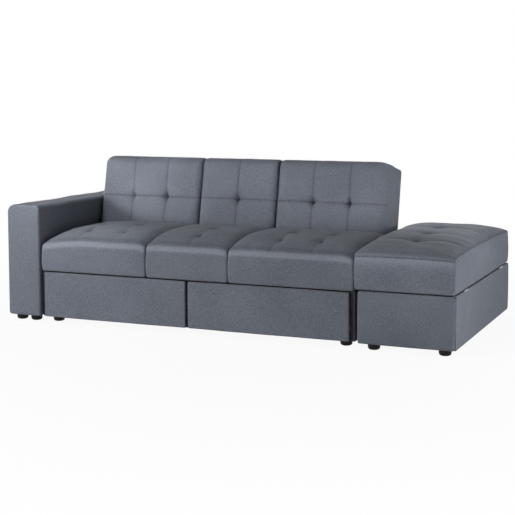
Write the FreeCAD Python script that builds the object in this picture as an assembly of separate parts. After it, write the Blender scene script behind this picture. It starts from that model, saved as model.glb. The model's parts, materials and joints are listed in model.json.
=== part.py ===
import FreeCAD, Part
import math
import os

# Sofa bed: one padded arm on a low base as deep as the whole seat, two drawers on roller
# runners under the seat, a back that clicks down flat behind the seat to make the bed, and a
# storage ottoman with a hinged padded lid that carries the bed on at the right.
# Everything is worked out in millimetres from the left front corner on the floor, and is moved
# at the end so that the origin is at the middle of the footprint, on the floor.
# +X is to the right, +Y to the rear and +Z up.

os.makedirs("parts", exist_ok=True)
V = FreeCAD.Vector

# Driving sizes of the whole
depth = 1100.0
foot_height = 30.0
flat_contact = 0.3
overrun = 20.0
edge_reach = 1.0

# Arm
arm_width = 180.0
arm_height = 567.0
arm_padding = 20.0
arm_top_radius = 24.0
arm_edge_radius = 10.0
arm_board = 12.0
arm_rail = 40.0
arm_bolt_shares = [0.41, 0.91]

# Carcass of the sofa
carcass_gap = 2.0
carcass_front_gap = 2.0
carcass_seat_reveal = 1.0
side_board = 18.0
floor_board = 12.0
seat_deck_top = 250.0
rear_deck_top = 227.0
deck_board = 15.0
cross_board_clearance = 10.0
rear_deck_y = 735.0
front_rail_height = 45.0

# Drawers
drawer_front_y = 6.0
drawer_front_board = 20.0
drawer_top_gap = 6.0
drawer_gap = 10.0
drawer_reveal = 1.0
drawer_left_width = 757.0
drawer_edge_radius = 6.0
drawer_board = 12.0
drawer_bottom_board = 6.0
drawer_bottom_rise = 28.0
drawer_head_room = 6.0
drawer_rear_gap = 16.0
drawer_travel = 400.0

# Roller runners of the drawers
runner_gap = 13.0
runner_sheet = 1.5
runner_lip = 9.5
runner_roller_radius = 9.0
runner_roller_width = 6.0
runner_play = 0.3
runner_axle_radius = 2.0
runner_axle_play = 0.05
runner_rise = 40.0
runner_inset = 14.0
runner_stop_height = 4.0
runner_stop_play = 0.5

# Seat
seat_gap = 4.0
seats_width = 1583.0
seat_width_shares = [0.3606, 0.2629, 0.3765]
seat_columns = [2, 1, 2]
seat_rows = 2
seat_bottom_gap = 3.0
seat_crown_rise = 17.0
seat_seam_drop = 61.0
seat_channel_drop = 3.0
seat_tuft_drop = 14.0
seat_line_crown_drop = 2.0
seat_end_crown_drop = 15.0
seat_dome_reach = 350.0
seat_dome_drop = 46.0
seat_cover = 12.0
seat_frame_height = 40.0
seat_frame_rail = 28.0
slat_thickness = 12.0
slat_width = 70.0
slats_per_seat = 4
end_dip = 2.0
end_dome_share = 0.6
pad_bulge = 3.0
pad_end_width = 12.0
pad_end_draw = 6.0
stitch_draw = 1.5

# Back
back_tilt = 11.5
bed_top = 440.0
back_deck_gap = 2.0
back_face_y = 547.0
back_seat_gap = 3.0
back_length = 434.0
back_right_gap = 30.0
back_seam_drop = 20.0
back_channel_drop = 5.0
back_tuft_drop = 26.0
back_line_crown_drop = 4.0
back_end_crown_drop = 15.0
back_tuft_share = 0.52
back_top_radius = 34.0
back_pad_thickness = 128.0
back_shell_wall = 12.0
back_rail = 42.0
back_nose_inset = 26.0
back_nose_end_angle = 45.0

# Click-clack hinges of the back
hinge_plate = 4.0
hinge_spacer = 3.0
hinge_pocket_width = 23.0
hinge_pocket_reach = 74.0
hinge_pin_radius = 5.0
hinge_running_play = 0.05
hinge_head_radius = 9.0
hinge_head_width = 4.0
hinge_hub_radius = 24.0
hinge_foot_length = 76.0
hinge_foot_margin = 4.0
hinge_screw_shares = [-0.4, 0.4]
hinge_bolt_shares = [0.35, 0.75]
hinge_bolt_height_share = 0.55
hinge_leg_width = 52.0
hinge_plate_low_share = 0.25
ratchet_root_radius = 42.0
ratchet_tip_radius = 48.0
ratchet_teeth = 12
ratchet_pitch = 8.0
ratchet_start = -8.0
ratchet_steep_share = 0.125
pawl_play = 0.4
pawl_length = 22.0
pawl_width = 18.0
pawl_pin_radius = 3.0
bolt_radius = 4.0
bolt_head_radius = 7.0
bolt_head_height = 4.0

# Ottoman
ottoman_gap = 18.0
ottoman_width = 431.0
ottoman_end_inset = 3.0
ottoman_bottom = 27.0
ottoman_box_top = 258.0
ottoman_board = 18.0
ottoman_edge_radius = 5.0
lid_overhang = 15.0
lid_gap = 4.0
lid_crown_rise = 34.0
lid_seam_drop = 68.0
lid_channel_drop = 5.0
lid_tuft_drop = 22.0
lid_line_crown_drop = 4.0
lid_end_crown_drop = 40.0
lid_dome_reach = 450.0
lid_dome_drop = 56.0
lid_rows = 4
lid_columns = 1
lid_board_thickness = 15.0
lid_cover = 10.0
bumper_radius = 8.0
bumper_inset = 60.0

# Butt hinges of the lid
lid_hinge_shares = [0.16, 0.81]
lid_hinge_length = 60.0
lid_hinge_leaf_width = 16.0
lid_hinge_knuckle_radius = 4.5
lid_hinge_pin_radius = 2.5
lid_hinge_pin_out = 1.0
lid_hinge_play = 0.05
lid_hinge_end_play = 0.3
lid_hinge_knuckles = 5

# Feet
foot_top_radius = 29.0
foot_floor_radius = 27.0
foot_round_radius = 10.0
arm_foot_outer_inset = 37.0
arm_foot_inner_inset = 62.0
arm_foot_inset_y = 64.0
base_foot_left_inset = 51.0
base_foot_right_inset = 57.0
base_foot_inset_y = 84.0
ottoman_foot_left_inset = 64.0
ottoman_foot_right_inset = 52.0
ottoman_foot_inset_y = 45.0

# Places that follow from the sizes above
carcass_x0 = arm_width + carcass_gap
seat_x0 = arm_width + seat_gap
seats_cover = seats_width - seat_gap * (len(seat_width_shares) - 1)
seat_widths = [seats_cover * share for share in seat_width_shares]
carcass_x1 = seat_x0 + seats_width + carcass_seat_reveal
carcass_front_y = drawer_front_y + drawer_front_board + carcass_front_gap
seat_bottom = seat_deck_top + seat_bottom_gap
drawer_top = seat_bottom - drawer_top_gap
bay_x0 = carcass_x0 + side_board
bay_x1 = carcass_x1 - side_board
ottoman_x0 = carcass_x1 + ottoman_gap
ottoman_x1 = ottoman_x0 + ottoman_width
lid_x0 = ottoman_x0 - lid_overhang
lid_pin_x = ottoman_x1 + lid_hinge_pin_out
overall_length = lid_pin_x + lid_hinge_knuckle_radius
drawer_left_x0 = bay_x0 + drawer_reveal
drawer_left_x1 = drawer_left_x0 + drawer_left_width
drawer_right_x0 = drawer_left_x1 + drawer_gap
drawer_right_x1 = bay_x1 - drawer_reveal
divider_x0 = (drawer_left_x1 + drawer_right_x0 - side_board) / 2
divider_x1 = divider_x0 + side_board

# The back turns about an axis as far behind its front as it is below the bed's top, so the same
# face that leans at the back of the seat lies level with the seat when the back is down.
tilt = math.radians(back_tilt)
back_thickness = bed_top - rear_deck_top - back_deck_gap
back_radius = back_thickness / 2
pivot_z = bed_top - back_radius
pivot_y = back_face_y + back_radius * (1 - math.sin(tilt)) / math.cos(tilt)
seat_rear_y = pivot_y - back_radius - back_seat_gap - pad_bulge
back_end_y = pivot_y + back_length
back_split_z = bed_top - back_pad_thickness
back_stop_angle = 90 - back_tilt
back_x0 = seat_x0
back_x1 = carcass_x1 - back_right_gap

# The cross board behind the drawers stands clear of the round lower edge of the back.
back_reach_at_deck = math.sqrt(back_radius ** 2 - (pivot_z - seat_deck_top) ** 2)
cross_board_y = pivot_y - back_reach_at_deck - cross_board_clearance - side_board
drawer_box_y0 = drawer_front_y + drawer_front_board
drawer_box_y1 = cross_board_y - drawer_rear_gap
seat_crown_height = bed_top + seat_crown_rise
lid_crown_height = bed_top + lid_crown_rise


def box(x0, x1, y0, y1, z0, z1):
    """A box between two corners."""
    return Part.makeBox(x1 - x0, y1 - y0, z1 - z0, V(x0, y0, z0))


def cylinder_x(x0, x1, y, z, radius):
    """A cylinder along X."""
    return Part.makeCylinder(radius, x1 - x0, V(x0, y, z), V(1, 0, 0))


def cylinder_y(y0, y1, x, z, radius):
    """A cylinder along Y."""
    return Part.makeCylinder(radius, y1 - y0, V(x, y0, z), V(0, 1, 0))


def cylinder_z(z0, z1, x, y, radius):
    """A cylinder along Z."""
    return Part.makeCylinder(radius, z1 - z0, V(x, y, z0), V(0, 0, 1))


def rounded(shape, radius, wanted):
    """Fillets the straight edges whose middle and direction the function wanted accepts."""
    edges = []
    for edge in shape.Edges:
        first, last = edge.Vertexes[0].Point, edge.Vertexes[-1].Point
        run = last - first
        if run.Length > 0 and wanted((first + last) / 2, run / run.Length):
            edges.append(edge)
    return shape.makeFillet(radius, edges) if edges else shape


def prism_x(x0, x1, corners):
    """Extrudes a closed outline of (y, z) corners along X."""
    points = [V(x0, y, z) for y, z in corners]
    face = Part.Face(Part.makePolygon(points + points[:1]))
    return face.extrude(V(x1 - x0, 0, 0))


def export(node, solids):
    """Moves the pieces to the part's own frame and writes them as one node."""
    shape = solids[0] if len(solids) == 1 else Part.makeCompound(solids)
    shape = shape.copy()
    shape.translate(V(-overall_length / 2, -depth / 2, 0))
    shape.exportStep("parts/" + node + ".step")


def raised(shape):
    """Turns a piece of the back, drawn lying flat, up to where it stands as a sofa's back."""
    turned = shape.copy()
    turned.rotate(V(0, pivot_y, pivot_z), V(1, 0, 0), back_stop_angle)
    return turned


# Padded pieces. A pad is a row of lofts along X, one between each two seams, through closed
# outlines in the YZ plane. An outline is its start point and then its edges, each with the point
# it ends at and, for an arc, the point it passes through.
def outline_wire(x, start, edges):
    """One closed outline at the given x."""
    here = V(x, *start)
    parts = []
    for via, end in edges:
        there = V(x, *end)
        if via is None:
            parts.append(Part.makeLine(here, there))
        else:
            parts.append(Part.Arc(here, V(x, *via), there).toShape())
        here = there
    return Part.Wire(parts)


def top_edges(ys, knots, crowns):
    """Arcs over the top from seam to seam, each over its own crown."""
    edges = []
    for first, last, knot, crown in zip(ys[:-1], ys[1:], knots[1:], crowns):
        edges.append((((first + last) / 2, crown), (last, knot)))
    return edges


def block_outline(x, ys, low, seam, knots, crowns, draw):
    """Outline of a seat or lid pad: upright faces with a slight bulge and a quilted top."""
    places = [ys[0] + draw] + list(ys[1:-1]) + [ys[-1] - draw]
    middle = (low + seam) / 2
    edges = [((places[0] - pad_bulge, middle), (places[0], seam))]
    edges += top_edges(places, [seam] + knots + [seam], crowns)
    edges.append(((places[-1] + pad_bulge, middle), (places[-1], low)))
    edges.append((None, (places[0], low)))
    return outline_wire(x, (places[0], low), edges)


def pad(xs, outline, end_width, end_draw):
    """Lofts a pad between its seams at xs, with rounded ends. outline(x, kind, draw) gives a wire.

    The kind is "end" at the two ends, "line" on a stitched line and "middle" between them.
    """
    inner = [xs[0] + end_width] + list(xs[1:-1]) + [xs[-1] - end_width]
    kinds = ["end"] + ["line"] * (len(xs) - 2) + ["end"]
    strips = []
    for first, last, kind_0, kind_1 in zip(inner[:-1], inner[1:], kinds[:-1], kinds[1:]):
        wires = [outline(first, kind_0, 0), outline((first + last) / 2, "middle", 0)]
        wires.append(outline(last, kind_1, 0))
        strips.append(Part.makeLoft(wires, True, False))
    quarter_share = 1 - math.sqrt(0.5)
    for outer, edge in ((xs[0], inner[0]), (xs[-1], inner[-1])):
        between = outer + (edge - outer) * quarter_share
        wires = [outline(edge, "end", 0), outline(between, "end", end_draw * quarter_share)]
        wires.append(outline(outer, "end", end_draw))
        strips.append(Part.makeLoft(wires, True, True))
    return strips[0].multiFuse(strips[1:])


def thirds(first, last, count):
    """The places of count lines that divide a length evenly."""
    return [first + (last - first) * (i + 1) / (count + 1) for i in range(count)]


def domed(level, dome_drop, ys, places, reach):
    """Levels of the rows and of the crowns between them, lowered towards the given places."""
    levels = []
    for y in list(ys[1:-1]) + [(first + last) / 2 for first, last in zip(ys[:-1], ys[1:])]:
        near = max(0, 1 - min(abs(y - place) for place in places) / reach)
        levels.append(level - dome_drop * near * near)
    return levels[:len(ys) - 2], levels[len(ys) - 2:]


def block_pad(x0, x1, columns, ys, bottom, crown, drops, dome_drop, places, reach):
    """A seat or lid pad. drops gives how far its seam, channel, tuft, line crown and end crown
    lie below its crown. The top falls away over the reach towards the given places."""
    seam_drop, channel_drop, tuft_drop, line_crown_drop, end_crown_drop = drops
    seam = crown - seam_drop

    def outline(x, kind, draw):
        if kind == "end":
            level = crown - end_crown_drop - draw
            rows, crowns = domed(level, end_dome_share * dome_drop, ys, places, reach)
            rows = [level - end_dip for level in rows]
            return block_outline(x, ys, bottom + draw, seam - draw, rows, crowns, draw)
        rows, crowns = domed(crown, dome_drop, ys, places, reach)
        if kind == "line":
            rows = [level - tuft_drop for level in rows]
            crowns = [level - line_crown_drop for level in crowns]
            return block_outline(x, ys, bottom, seam, rows, crowns, stitch_draw)
        rows = [level - channel_drop for level in rows]
        return block_outline(x, ys, bottom, seam, rows, crowns, 0)

    return pad([x0] + thirds(x0, x1, columns) + [x1], outline, pad_end_width, pad_end_draw)


# Arm
def make_arm():
    """The padded cover, open below, and the boards and rails inside it."""
    bolts = arm_bolts()
    holes = Part.makeCompound(bolts)
    cover = box(0, arm_width, 0, depth, foot_height, arm_height)
    cover = rounded(cover, arm_top_radius,
                    lambda at, run: at.z > arm_height - overrun and abs(run.y) > 0.5)
    cover = rounded(cover, arm_edge_radius,
                    lambda at, run: min(at.y, depth - at.y) < overrun and abs(run.z) > 0.5)
    inside = box(arm_padding, arm_width - arm_padding, arm_padding, depth - arm_padding,
                 foot_height - overrun, arm_height - arm_padding)
    export("arm_cover", [cover.cut(inside).cut(holes)])
    export("arm_bolts", bolts)

    x0, x1 = arm_padding, arm_width - arm_padding
    y0, y1 = arm_padding, depth - arm_padding
    top = arm_height - arm_padding
    boards = [box(x0, x0 + arm_board, y0, y1, foot_height, top)]
    boards.append(box(x1 - arm_board, x1, y0, y1, foot_height, top).cut(holes))
    export("arm_boards", boards)

    rails_x0, rails_x1 = x0 + arm_board, x1 - arm_board
    rails = [box(rails_x0, rails_x1, y0, y1, foot_height, foot_height + side_board)]
    rails.append(box(rails_x0, rails_x1, y0, y1, top - side_board, top))
    post_z0, post_z1 = foot_height + side_board, top - side_board
    for y in (y0, (y0 + y1 - arm_rail) / 2, y1 - arm_rail):
        rails.append(box(rails_x0, rails_x1, y, y + arm_rail, post_z0, post_z1))
    export("arm_frame", rails)


def foot(x, y, top):
    """A tapered plastic foot under a board, its lower edge well rounded."""
    puck = Part.makeCone(foot_floor_radius, foot_top_radius, top, V(x, y, 0), V(0, 0, 1))
    lowest = [edge for edge in puck.Edges if edge.BoundBox.ZMax < edge_reach]
    return puck.makeFillet(foot_round_radius, lowest)


def make_feet():
    """The feet of the arm and of the base; the ottoman has its own."""
    feet = []
    for x in (arm_foot_outer_inset, arm_width - arm_foot_inner_inset):
        for y in (arm_foot_inset_y, depth - arm_foot_inset_y):
            feet.append(foot(x, y, foot_height))
    for x in (carcass_x0 + base_foot_left_inset, carcass_x1 - base_foot_right_inset):
        for y in (base_foot_inset_y, depth - base_foot_inset_y):
            feet.append(foot(x, y, foot_height))
    feet.append(foot((divider_x0 + divider_x1) / 2, depth / 2, foot_height))
    export("sofa_feet", feet)


# Base
def make_base():
    """The boards of the carcass: sides, floor, divider, cross board, rear and decks."""
    rear_y = depth - side_board
    front_y = carcass_front_y
    low_top = rear_deck_top - deck_board
    step_y = pivot_y + hinge_pocket_reach - hinge_foot_margin
    holes = Part.makeCompound(arm_bolts() + hinge_screws())
    for node, x in (("base_side_left", carcass_x0), ("base_side_right", bay_x1)):
        corners = [(front_y, foot_height), (depth, foot_height), (depth, rear_deck_top)]
        corners += [(step_y, rear_deck_top), (step_y, seat_deck_top), (front_y, seat_deck_top)]
        export(node, [prism_x(x, x + side_board, corners).cut(holes)])
    floor_top = foot_height + floor_board
    export("base_floor", [box(bay_x0, bay_x1, front_y, rear_y, foot_height, floor_top)])
    deck_bottom = seat_deck_top - deck_board
    cross = box(bay_x0, bay_x1, cross_board_y, cross_board_y + side_board, floor_top, seat_deck_top)
    export("base_cross_board", [cross])
    divider = box(divider_x0, divider_x1, front_y, cross_board_y, floor_top, deck_bottom)
    rail_room = box(divider_x0, divider_x1, front_y, front_y + side_board,
                    deck_bottom - front_rail_height, deck_bottom)
    export("base_divider", [divider.cut(rail_room)])
    export("base_front_rail", [box(bay_x0, bay_x1, front_y, front_y + side_board,
                                   deck_bottom - front_rail_height, deck_bottom)])
    export("base_rear_panel", [box(bay_x0, bay_x1, rear_y, depth, foot_height, rear_deck_top)])
    export("seat_deck", [box(bay_x0, bay_x1, front_y, cross_board_y, deck_bottom, seat_deck_top)])
    export("rear_deck", [box(bay_x0, bay_x1, rear_deck_y, rear_y, low_top, rear_deck_top)])
    export("rear_deck_rail", [box(bay_x0, bay_x1, rear_deck_y, rear_deck_y + side_board,
                                  low_top - front_rail_height, low_top)])


def arm_bolts():
    """Bolts that hold the arm to the carcass, two ahead of the cross board and one behind it."""
    bolts = []
    places = [cross_board_y * share for share in arm_bolt_shares]
    places.append((cross_board_y + side_board + rear_deck_y) / 2)
    shank_x0 = arm_width - arm_padding - arm_board
    z = (deck_line() + drawer_box_top()) / 2
    for y in places:
        shank = cylinder_x(shank_x0, bay_x0, y, z, bolt_radius)
        head = cylinder_x(bay_x0, bay_x0 + bolt_head_height, y, z, bolt_head_radius)
        bolts.append(shank.fuse(head))
    return bolts


def deck_line():
    """The underside of the seat deck."""
    return seat_deck_top - deck_board


def drawer_box_top():
    """The top edge of the drawers' sides."""
    return deck_line() - front_rail_height - drawer_head_room


# Drawers and their runners
def make_drawer(name, front_x0, front_x1, bay_left, bay_right):
    """One drawer: padded front, three box boards, bottom, runners and rollers."""
    front = box(front_x0, front_x1, drawer_front_y, drawer_box_y0, foot_height, drawer_top)
    front = rounded(front, drawer_edge_radius,
                    lambda at, run: at.y < drawer_front_y + edge_reach)
    export(name + "_front", [front])

    x0, x1 = bay_left + runner_gap, bay_right - runner_gap
    y0, y1 = drawer_box_y0, drawer_box_y1
    z0 = foot_height + drawer_bottom_rise
    z1 = drawer_box_top()
    floor_z = z0 + drawer_bottom_board
    boards = [box(x0, x0 + drawer_board, y0, y1, z0, z1)]
    boards.append(box(x1 - drawer_board, x1, y0, y1, z0, z1))
    boards.append(box(x0 + drawer_board, x1 - drawer_board, y1 - drawer_board, y1, z0, z1))
    export(name + "_boards", boards)
    bottom = box(x0 + drawer_board, x1 - drawer_board, y0, y1 - drawer_board, z0, floor_z)
    export(name + "_bottom", [bottom])

    axle_z = foot_height + runner_rise + runner_sheet + runner_roller_radius
    low_top = axle_z - runner_roller_radius - runner_play
    high_bottom = axle_z + runner_roller_radius + runner_play
    front_axle_y = carcass_front_y + side_board + runner_inset
    rear_axle_y = y1 - runner_inset
    rail_y0, rail_y1 = front_axle_y - runner_inset, y1
    fixed, moving, front_rollers, rear_rollers = [], [], [], []
    for wall, side in ((bay_left, 1), (bay_right, -1)):
        stop_y = rear_axle_y - drawer_travel - runner_roller_radius - runner_stop_play
        fixed.append(fixed_runner(wall, side, rail_y0, rail_y1, low_top, high_bottom, axle_z,
                                  front_axle_y, stop_y))
        board = wall + side * runner_gap
        moving.append(moving_runner(board, side, y0, y1, low_top, high_bottom, axle_z, rear_axle_y))
        middle = wall + side * runner_gap / 2
        front_rollers.append(roller(middle, front_axle_y, axle_z))
        rear_rollers.append(roller(middle, rear_axle_y, axle_z))
    export(name + "_fixed_runners", fixed)
    export(name + "_moving_runners", moving)
    export(name + "_front_rollers", front_rollers)
    export(name + "_rear_rollers", rear_rollers)


def between(a, b):
    """Two values in rising order."""
    return (a, b) if a < b else (b, a)


def fixed_runner(wall, side, y0, y1, low_top, high_bottom, axle_z, axle_y, stop_y):
    """The runner on the carcass: a web, a lip that the rear roller runs on, with a raised stop at
    the end of the drawer's travel, and the front axle."""
    web_top = high_bottom + 2 * runner_sheet + runner_play
    web_x = between(wall, wall + side * runner_sheet)
    lip_x = between(wall, wall + side * (runner_sheet + runner_lip))
    web = box(*web_x, y0, y1, low_top - runner_sheet, web_top)
    low_lip = box(*lip_x, y0, y1, low_top - runner_sheet, low_top)
    stop = box(*lip_x, stop_y - runner_sheet, stop_y, low_top, low_top + runner_stop_height)
    axle_x = between(wall, wall + side * (runner_gap + runner_roller_width) / 2)
    axle = cylinder_x(*axle_x, axle_y, axle_z, runner_axle_radius)
    return web.multiFuse([low_lip, stop, axle]).removeSplitter()


def moving_runner(board, side, y0, y1, low_top, high_bottom, axle_z, axle_y):
    """The runner on the drawer: a web, a lip on the front roller, and the rear axle."""
    web_x = between(board, board - side * runner_sheet)
    lip_x = between(board, board - side * (runner_sheet + runner_lip - runner_play))
    web = box(*web_x, y0, y1, low_top + runner_play, high_bottom + runner_sheet)
    high_lip = box(*lip_x, y0, y1, high_bottom, high_bottom + runner_sheet)
    axle_x = between(board, board - side * (runner_gap + runner_roller_width) / 2)
    axle = cylinder_x(*axle_x, axle_y, axle_z, runner_axle_radius)
    return web.multiFuse([high_lip, axle]).removeSplitter()


def roller(middle, y, z):
    """A grooved nylon roller on its axle."""
    half = runner_roller_width / 2
    groove = runner_sheet / 2
    body = cylinder_x(middle - half, middle + half, y, z, runner_roller_radius)
    body = body.cut(cylinder_x(middle - half, middle + half, y, z,
                               runner_axle_radius + runner_axle_play))
    ring = cylinder_x(middle - groove, middle + groove, y, z, runner_roller_radius)
    ring = ring.cut(cylinder_x(middle - groove, middle + groove, y, z,
                               runner_roller_radius - groove))
    return body.cut(ring)


# Seat
def make_seat():
    """Three seat sections, each a frame of rails under slats inside a tufted pad."""
    left = seat_x0
    slats = []
    names = ("left", "middle", "right")
    for name, width, count in zip(names, seat_widths, seat_columns):
        right = left + width
        x0, x1 = left + seat_cover, right - seat_cover
        y0, y1 = drawer_front_y + seat_cover, seat_rear_y - seat_cover
        z0, z1 = seat_deck_top, seat_deck_top + seat_frame_height
        inner_y0, inner_y1 = y0 + seat_frame_rail, y1 - seat_frame_rail
        rails = [box(x0, x1, y0, inner_y0, z0, z1), box(x0, x1, inner_y1, y1, z0, z1)]
        for x in (x0, (x0 + x1 - seat_frame_rail) / 2, x1 - seat_frame_rail):
            rails.append(box(x, x + seat_frame_rail, inner_y0, inner_y1, z0, z1))
        export("seat_frame_" + name, rails)

        for y in thirds(y0, y1, slats_per_seat):
            slats.append(box(x0, x1, y - slat_width / 2, y + slat_width / 2,
                             z1, z1 + slat_thickness))

        ys = [drawer_front_y] + thirds(drawer_front_y, seat_rear_y, seat_rows) + [seat_rear_y]
        drops = (seat_seam_drop, seat_channel_drop, seat_tuft_drop, seat_line_crown_drop,
                 seat_end_crown_drop)
        cushion = block_pad(left, right, count, ys, seat_bottom, seat_crown_height, drops,
                            seat_dome_drop, [drawer_front_y], seat_dome_reach)
        recess = box(x0, x1, y0, y1, seat_bottom - overrun, z1 + slat_thickness)
        export("seat_cushion_" + name, [cushion.cut(recess)])
        left = right + seat_gap
    export("seat_slats", slats)


# Back, drawn lying flat
def on_circle(z):
    """The front of the back's round lower edge at height z, with the back lying flat."""
    return pivot_y - math.sqrt(back_radius ** 2 - (z - pivot_z) ** 2)


def nose_point(angle):
    """A point on the round lower edge, the angle counted up from the level behind the seat."""
    turn = math.radians(angle)
    return (pivot_y - back_radius * math.cos(turn), pivot_z + back_radius * math.sin(turn))


def back_outline(x, knot, crowns, seam, draw):
    """Outline of a back pad lying flat: round nose, two quilted panels and a rounded top end."""
    start = (on_circle(back_split_z) + draw, back_split_z)
    shoulder = nose_point(back_nose_end_angle)
    shoulder = (shoulder[0] + draw, shoulder[1] - draw)
    split_angle = math.degrees(math.asin((back_split_z - pivot_z) / back_radius))
    via = nose_point((split_angle + back_nose_end_angle) / 2)
    via = (via[0] + draw, via[1] - draw / 2)
    tuft_y = pivot_y + back_length * back_tuft_share
    end_y = back_end_y - draw
    seam_z = bed_top - seam - draw
    corner = back_top_radius - draw
    bend = corner * (1 - math.sqrt(0.5))
    round_start = (end_y - corner, seam_z)
    round_end = (end_y, seam_z - corner)
    edges = [(via, shoulder)]
    first_middle = ((shoulder[0] + tuft_y) / 2, bed_top - crowns[0] - draw)
    edges.append((first_middle, (tuft_y, bed_top - knot - draw)))
    second_middle = ((tuft_y + round_start[0]) / 2, bed_top - crowns[1] - draw)
    edges.append((second_middle, round_start))
    edges.append(((end_y - bend, seam_z - bend), round_end))
    edges.append((None, (end_y, back_split_z)))
    edges.append((None, start))
    return outline_wire(x, start, edges)


def back_pad(x0, x1, columns):
    """One tufted back pad lying flat."""
    def outline(x, kind, draw):
        if kind == "end":
            drops = (back_seam_drop - flat_contact, (back_end_crown_drop, back_end_crown_drop))
        elif kind == "line":
            drops = (back_tuft_drop, (back_line_crown_drop, back_line_crown_drop))
        else:
            drops = (back_channel_drop, (0, 0))
        return back_outline(x, drops[0], drops[1], back_seam_drop, draw)

    return pad([x0] + thirds(x0, x1, columns) + [x1], outline, pad_end_width, pad_end_draw)


def make_back():
    """Three pads on one shell with a frame inside, all on the pin of the two hinges."""
    x_end = back_x1
    pocket_left = box(back_x0 - overrun, back_x0 + hinge_pocket_width,
                      pivot_y - back_radius - overrun, pivot_y + hinge_pocket_reach,
                      rear_deck_top - overrun, bed_top + overrun)
    pocket_right = box(x_end - hinge_pocket_width, x_end + overrun,
                       pivot_y - back_radius - overrun, pivot_y + hinge_pocket_reach,
                       rear_deck_top - overrun, bed_top + overrun)
    left = back_x0
    rights = [back_x0 + seat_widths[0], back_x0 + seat_widths[0] + seat_gap + seat_widths[1], x_end]
    for name, right, count in zip(("left", "middle", "right"), rights, seat_columns):
        cushion = back_pad(left, right, count)
        if name == "left":
            cushion = cushion.cut(pocket_left)
        if name == "right":
            cushion = cushion.cut(pocket_right)
        export("back_cushion_" + name, [raised(cushion)])
        left = right + seat_gap

    low = rear_deck_top + back_deck_gap
    top = back_split_z
    start = (on_circle(top), top)
    bottom_point = (pivot_y, low)
    via_angle = (math.degrees(math.asin((top - pivot_z) / back_radius)) - 90) / 2
    via = nose_point(via_angle)
    corner = back_top_radius
    bend = corner * (1 - math.sqrt(0.5))
    x0, x1 = back_x0 + stitch_draw, x_end - stitch_draw
    edges = [(via, bottom_point), (None, (back_end_y - corner, low))]
    edges.append(((back_end_y - bend, low + bend), (back_end_y, low + corner)))
    edges += [(None, (back_end_y, top)), (None, start)]
    shell = Part.Face(outline_wire(x0, start, edges)).extrude(V(x1 - x0, 0, 0))
    frame_x0, frame_x1 = back_x0 + hinge_pocket_width, x_end - hinge_pocket_width
    frame_y0, frame_y1 = pivot_y - back_nose_inset, back_end_y - back_shell_wall
    frame_z0 = low + back_shell_wall
    room = box(frame_x0, frame_x1, frame_y0, frame_y1, frame_z0, top)
    shell = shell.cut(room).cut(pocket_left).cut(pocket_right)
    export("back_shell", [raised(shell)])

    inner_y0, inner_y1 = frame_y0 + back_rail, frame_y1 - back_rail
    rails = [box(frame_x0, frame_x1, frame_y0, inner_y0, frame_z0, top)]
    rails.append(box(frame_x0, frame_x1, inner_y1, frame_y1, frame_z0, top))
    posts = [frame_x0] + [right - back_rail / 2 for right in rights[:2]] + [frame_x1 - back_rail]
    for x in posts:
        rails.append(box(x, x + back_rail, inner_y0, inner_y1, frame_z0, top))
    bolts = hinge_bolts(frame_x0, frame_x1, frame_z0)
    holes = Part.makeCompound(bolts)
    export("back_frame", [raised(rail.cut(holes)) for rail in rails])
    export("hinge_bolts", [raised(bolt) for bolt in bolts])
    make_back_hinges(frame_x0, frame_x1, frame_z0, holes)


# Click-clack hinges
def polar(radius, angle):
    """A point about the back's axis, the angle counted from the rear level upwards."""
    turn = math.radians(angle)
    return (pivot_y + radius * math.cos(turn), pivot_z + radius * math.sin(turn))


def ratchet_corners():
    """The toothed edge of the fixed plate, each tooth steep on one side."""
    corners = []
    for tooth in range(ratchet_teeth):
        angle = ratchet_start + tooth * ratchet_pitch
        corners.append(polar(ratchet_tip_radius, angle))
        corners.append(polar(ratchet_root_radius, angle + ratchet_pitch * ratchet_steep_share))
    corners.append(polar(ratchet_tip_radius, ratchet_start + ratchet_teeth * ratchet_pitch))
    return corners


def fixed_plate(x0, x1, foot_x0, foot_x1):
    """The toothed plate on the carcass side, with its leg and its foot."""
    bore = cylinder_x(x0, x1, pivot_y, pivot_z, hinge_pin_radius + hinge_running_play)
    half = hinge_leg_width / 2
    corners = ratchet_corners()
    corners += [(pivot_y - half, pivot_z + half), (pivot_y - half, seat_deck_top)]
    corners += [(pivot_y + half, seat_deck_top)]
    plate = prism_x(x0, x1, corners)
    foot_y0, foot_y1 = pivot_y - hinge_foot_length / 2, pivot_y + hinge_foot_length / 2
    flange = box(foot_x0, foot_x1, foot_y0, foot_y1, seat_deck_top, seat_deck_top + hinge_plate)
    return plate.fuse(flange).cut(bore).removeSplitter()


def moving_plate(x0, x1, frame_z0):
    """The plate on the back's frame, drawn with the back lying flat."""
    reach = hinge_pocket_reach - stitch_draw
    hub = cylinder_x(x0, x1, pivot_y, pivot_z, hinge_hub_radius)
    low = frame_z0 + back_rail * hinge_plate_low_share
    corners = [(pivot_y, pivot_z + hinge_hub_radius), (pivot_y + reach, pivot_z + hinge_hub_radius)]
    corners += [(pivot_y + reach, low), (pivot_y - hinge_hub_radius, low)]
    corners += [(pivot_y - hinge_hub_radius, pivot_z)]
    plate = hub.fuse(prism_x(x0, x1, corners)).removeSplitter()
    return plate.cut(cylinder_x(x0, x1, pivot_y, pivot_z, hinge_pin_radius))


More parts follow.
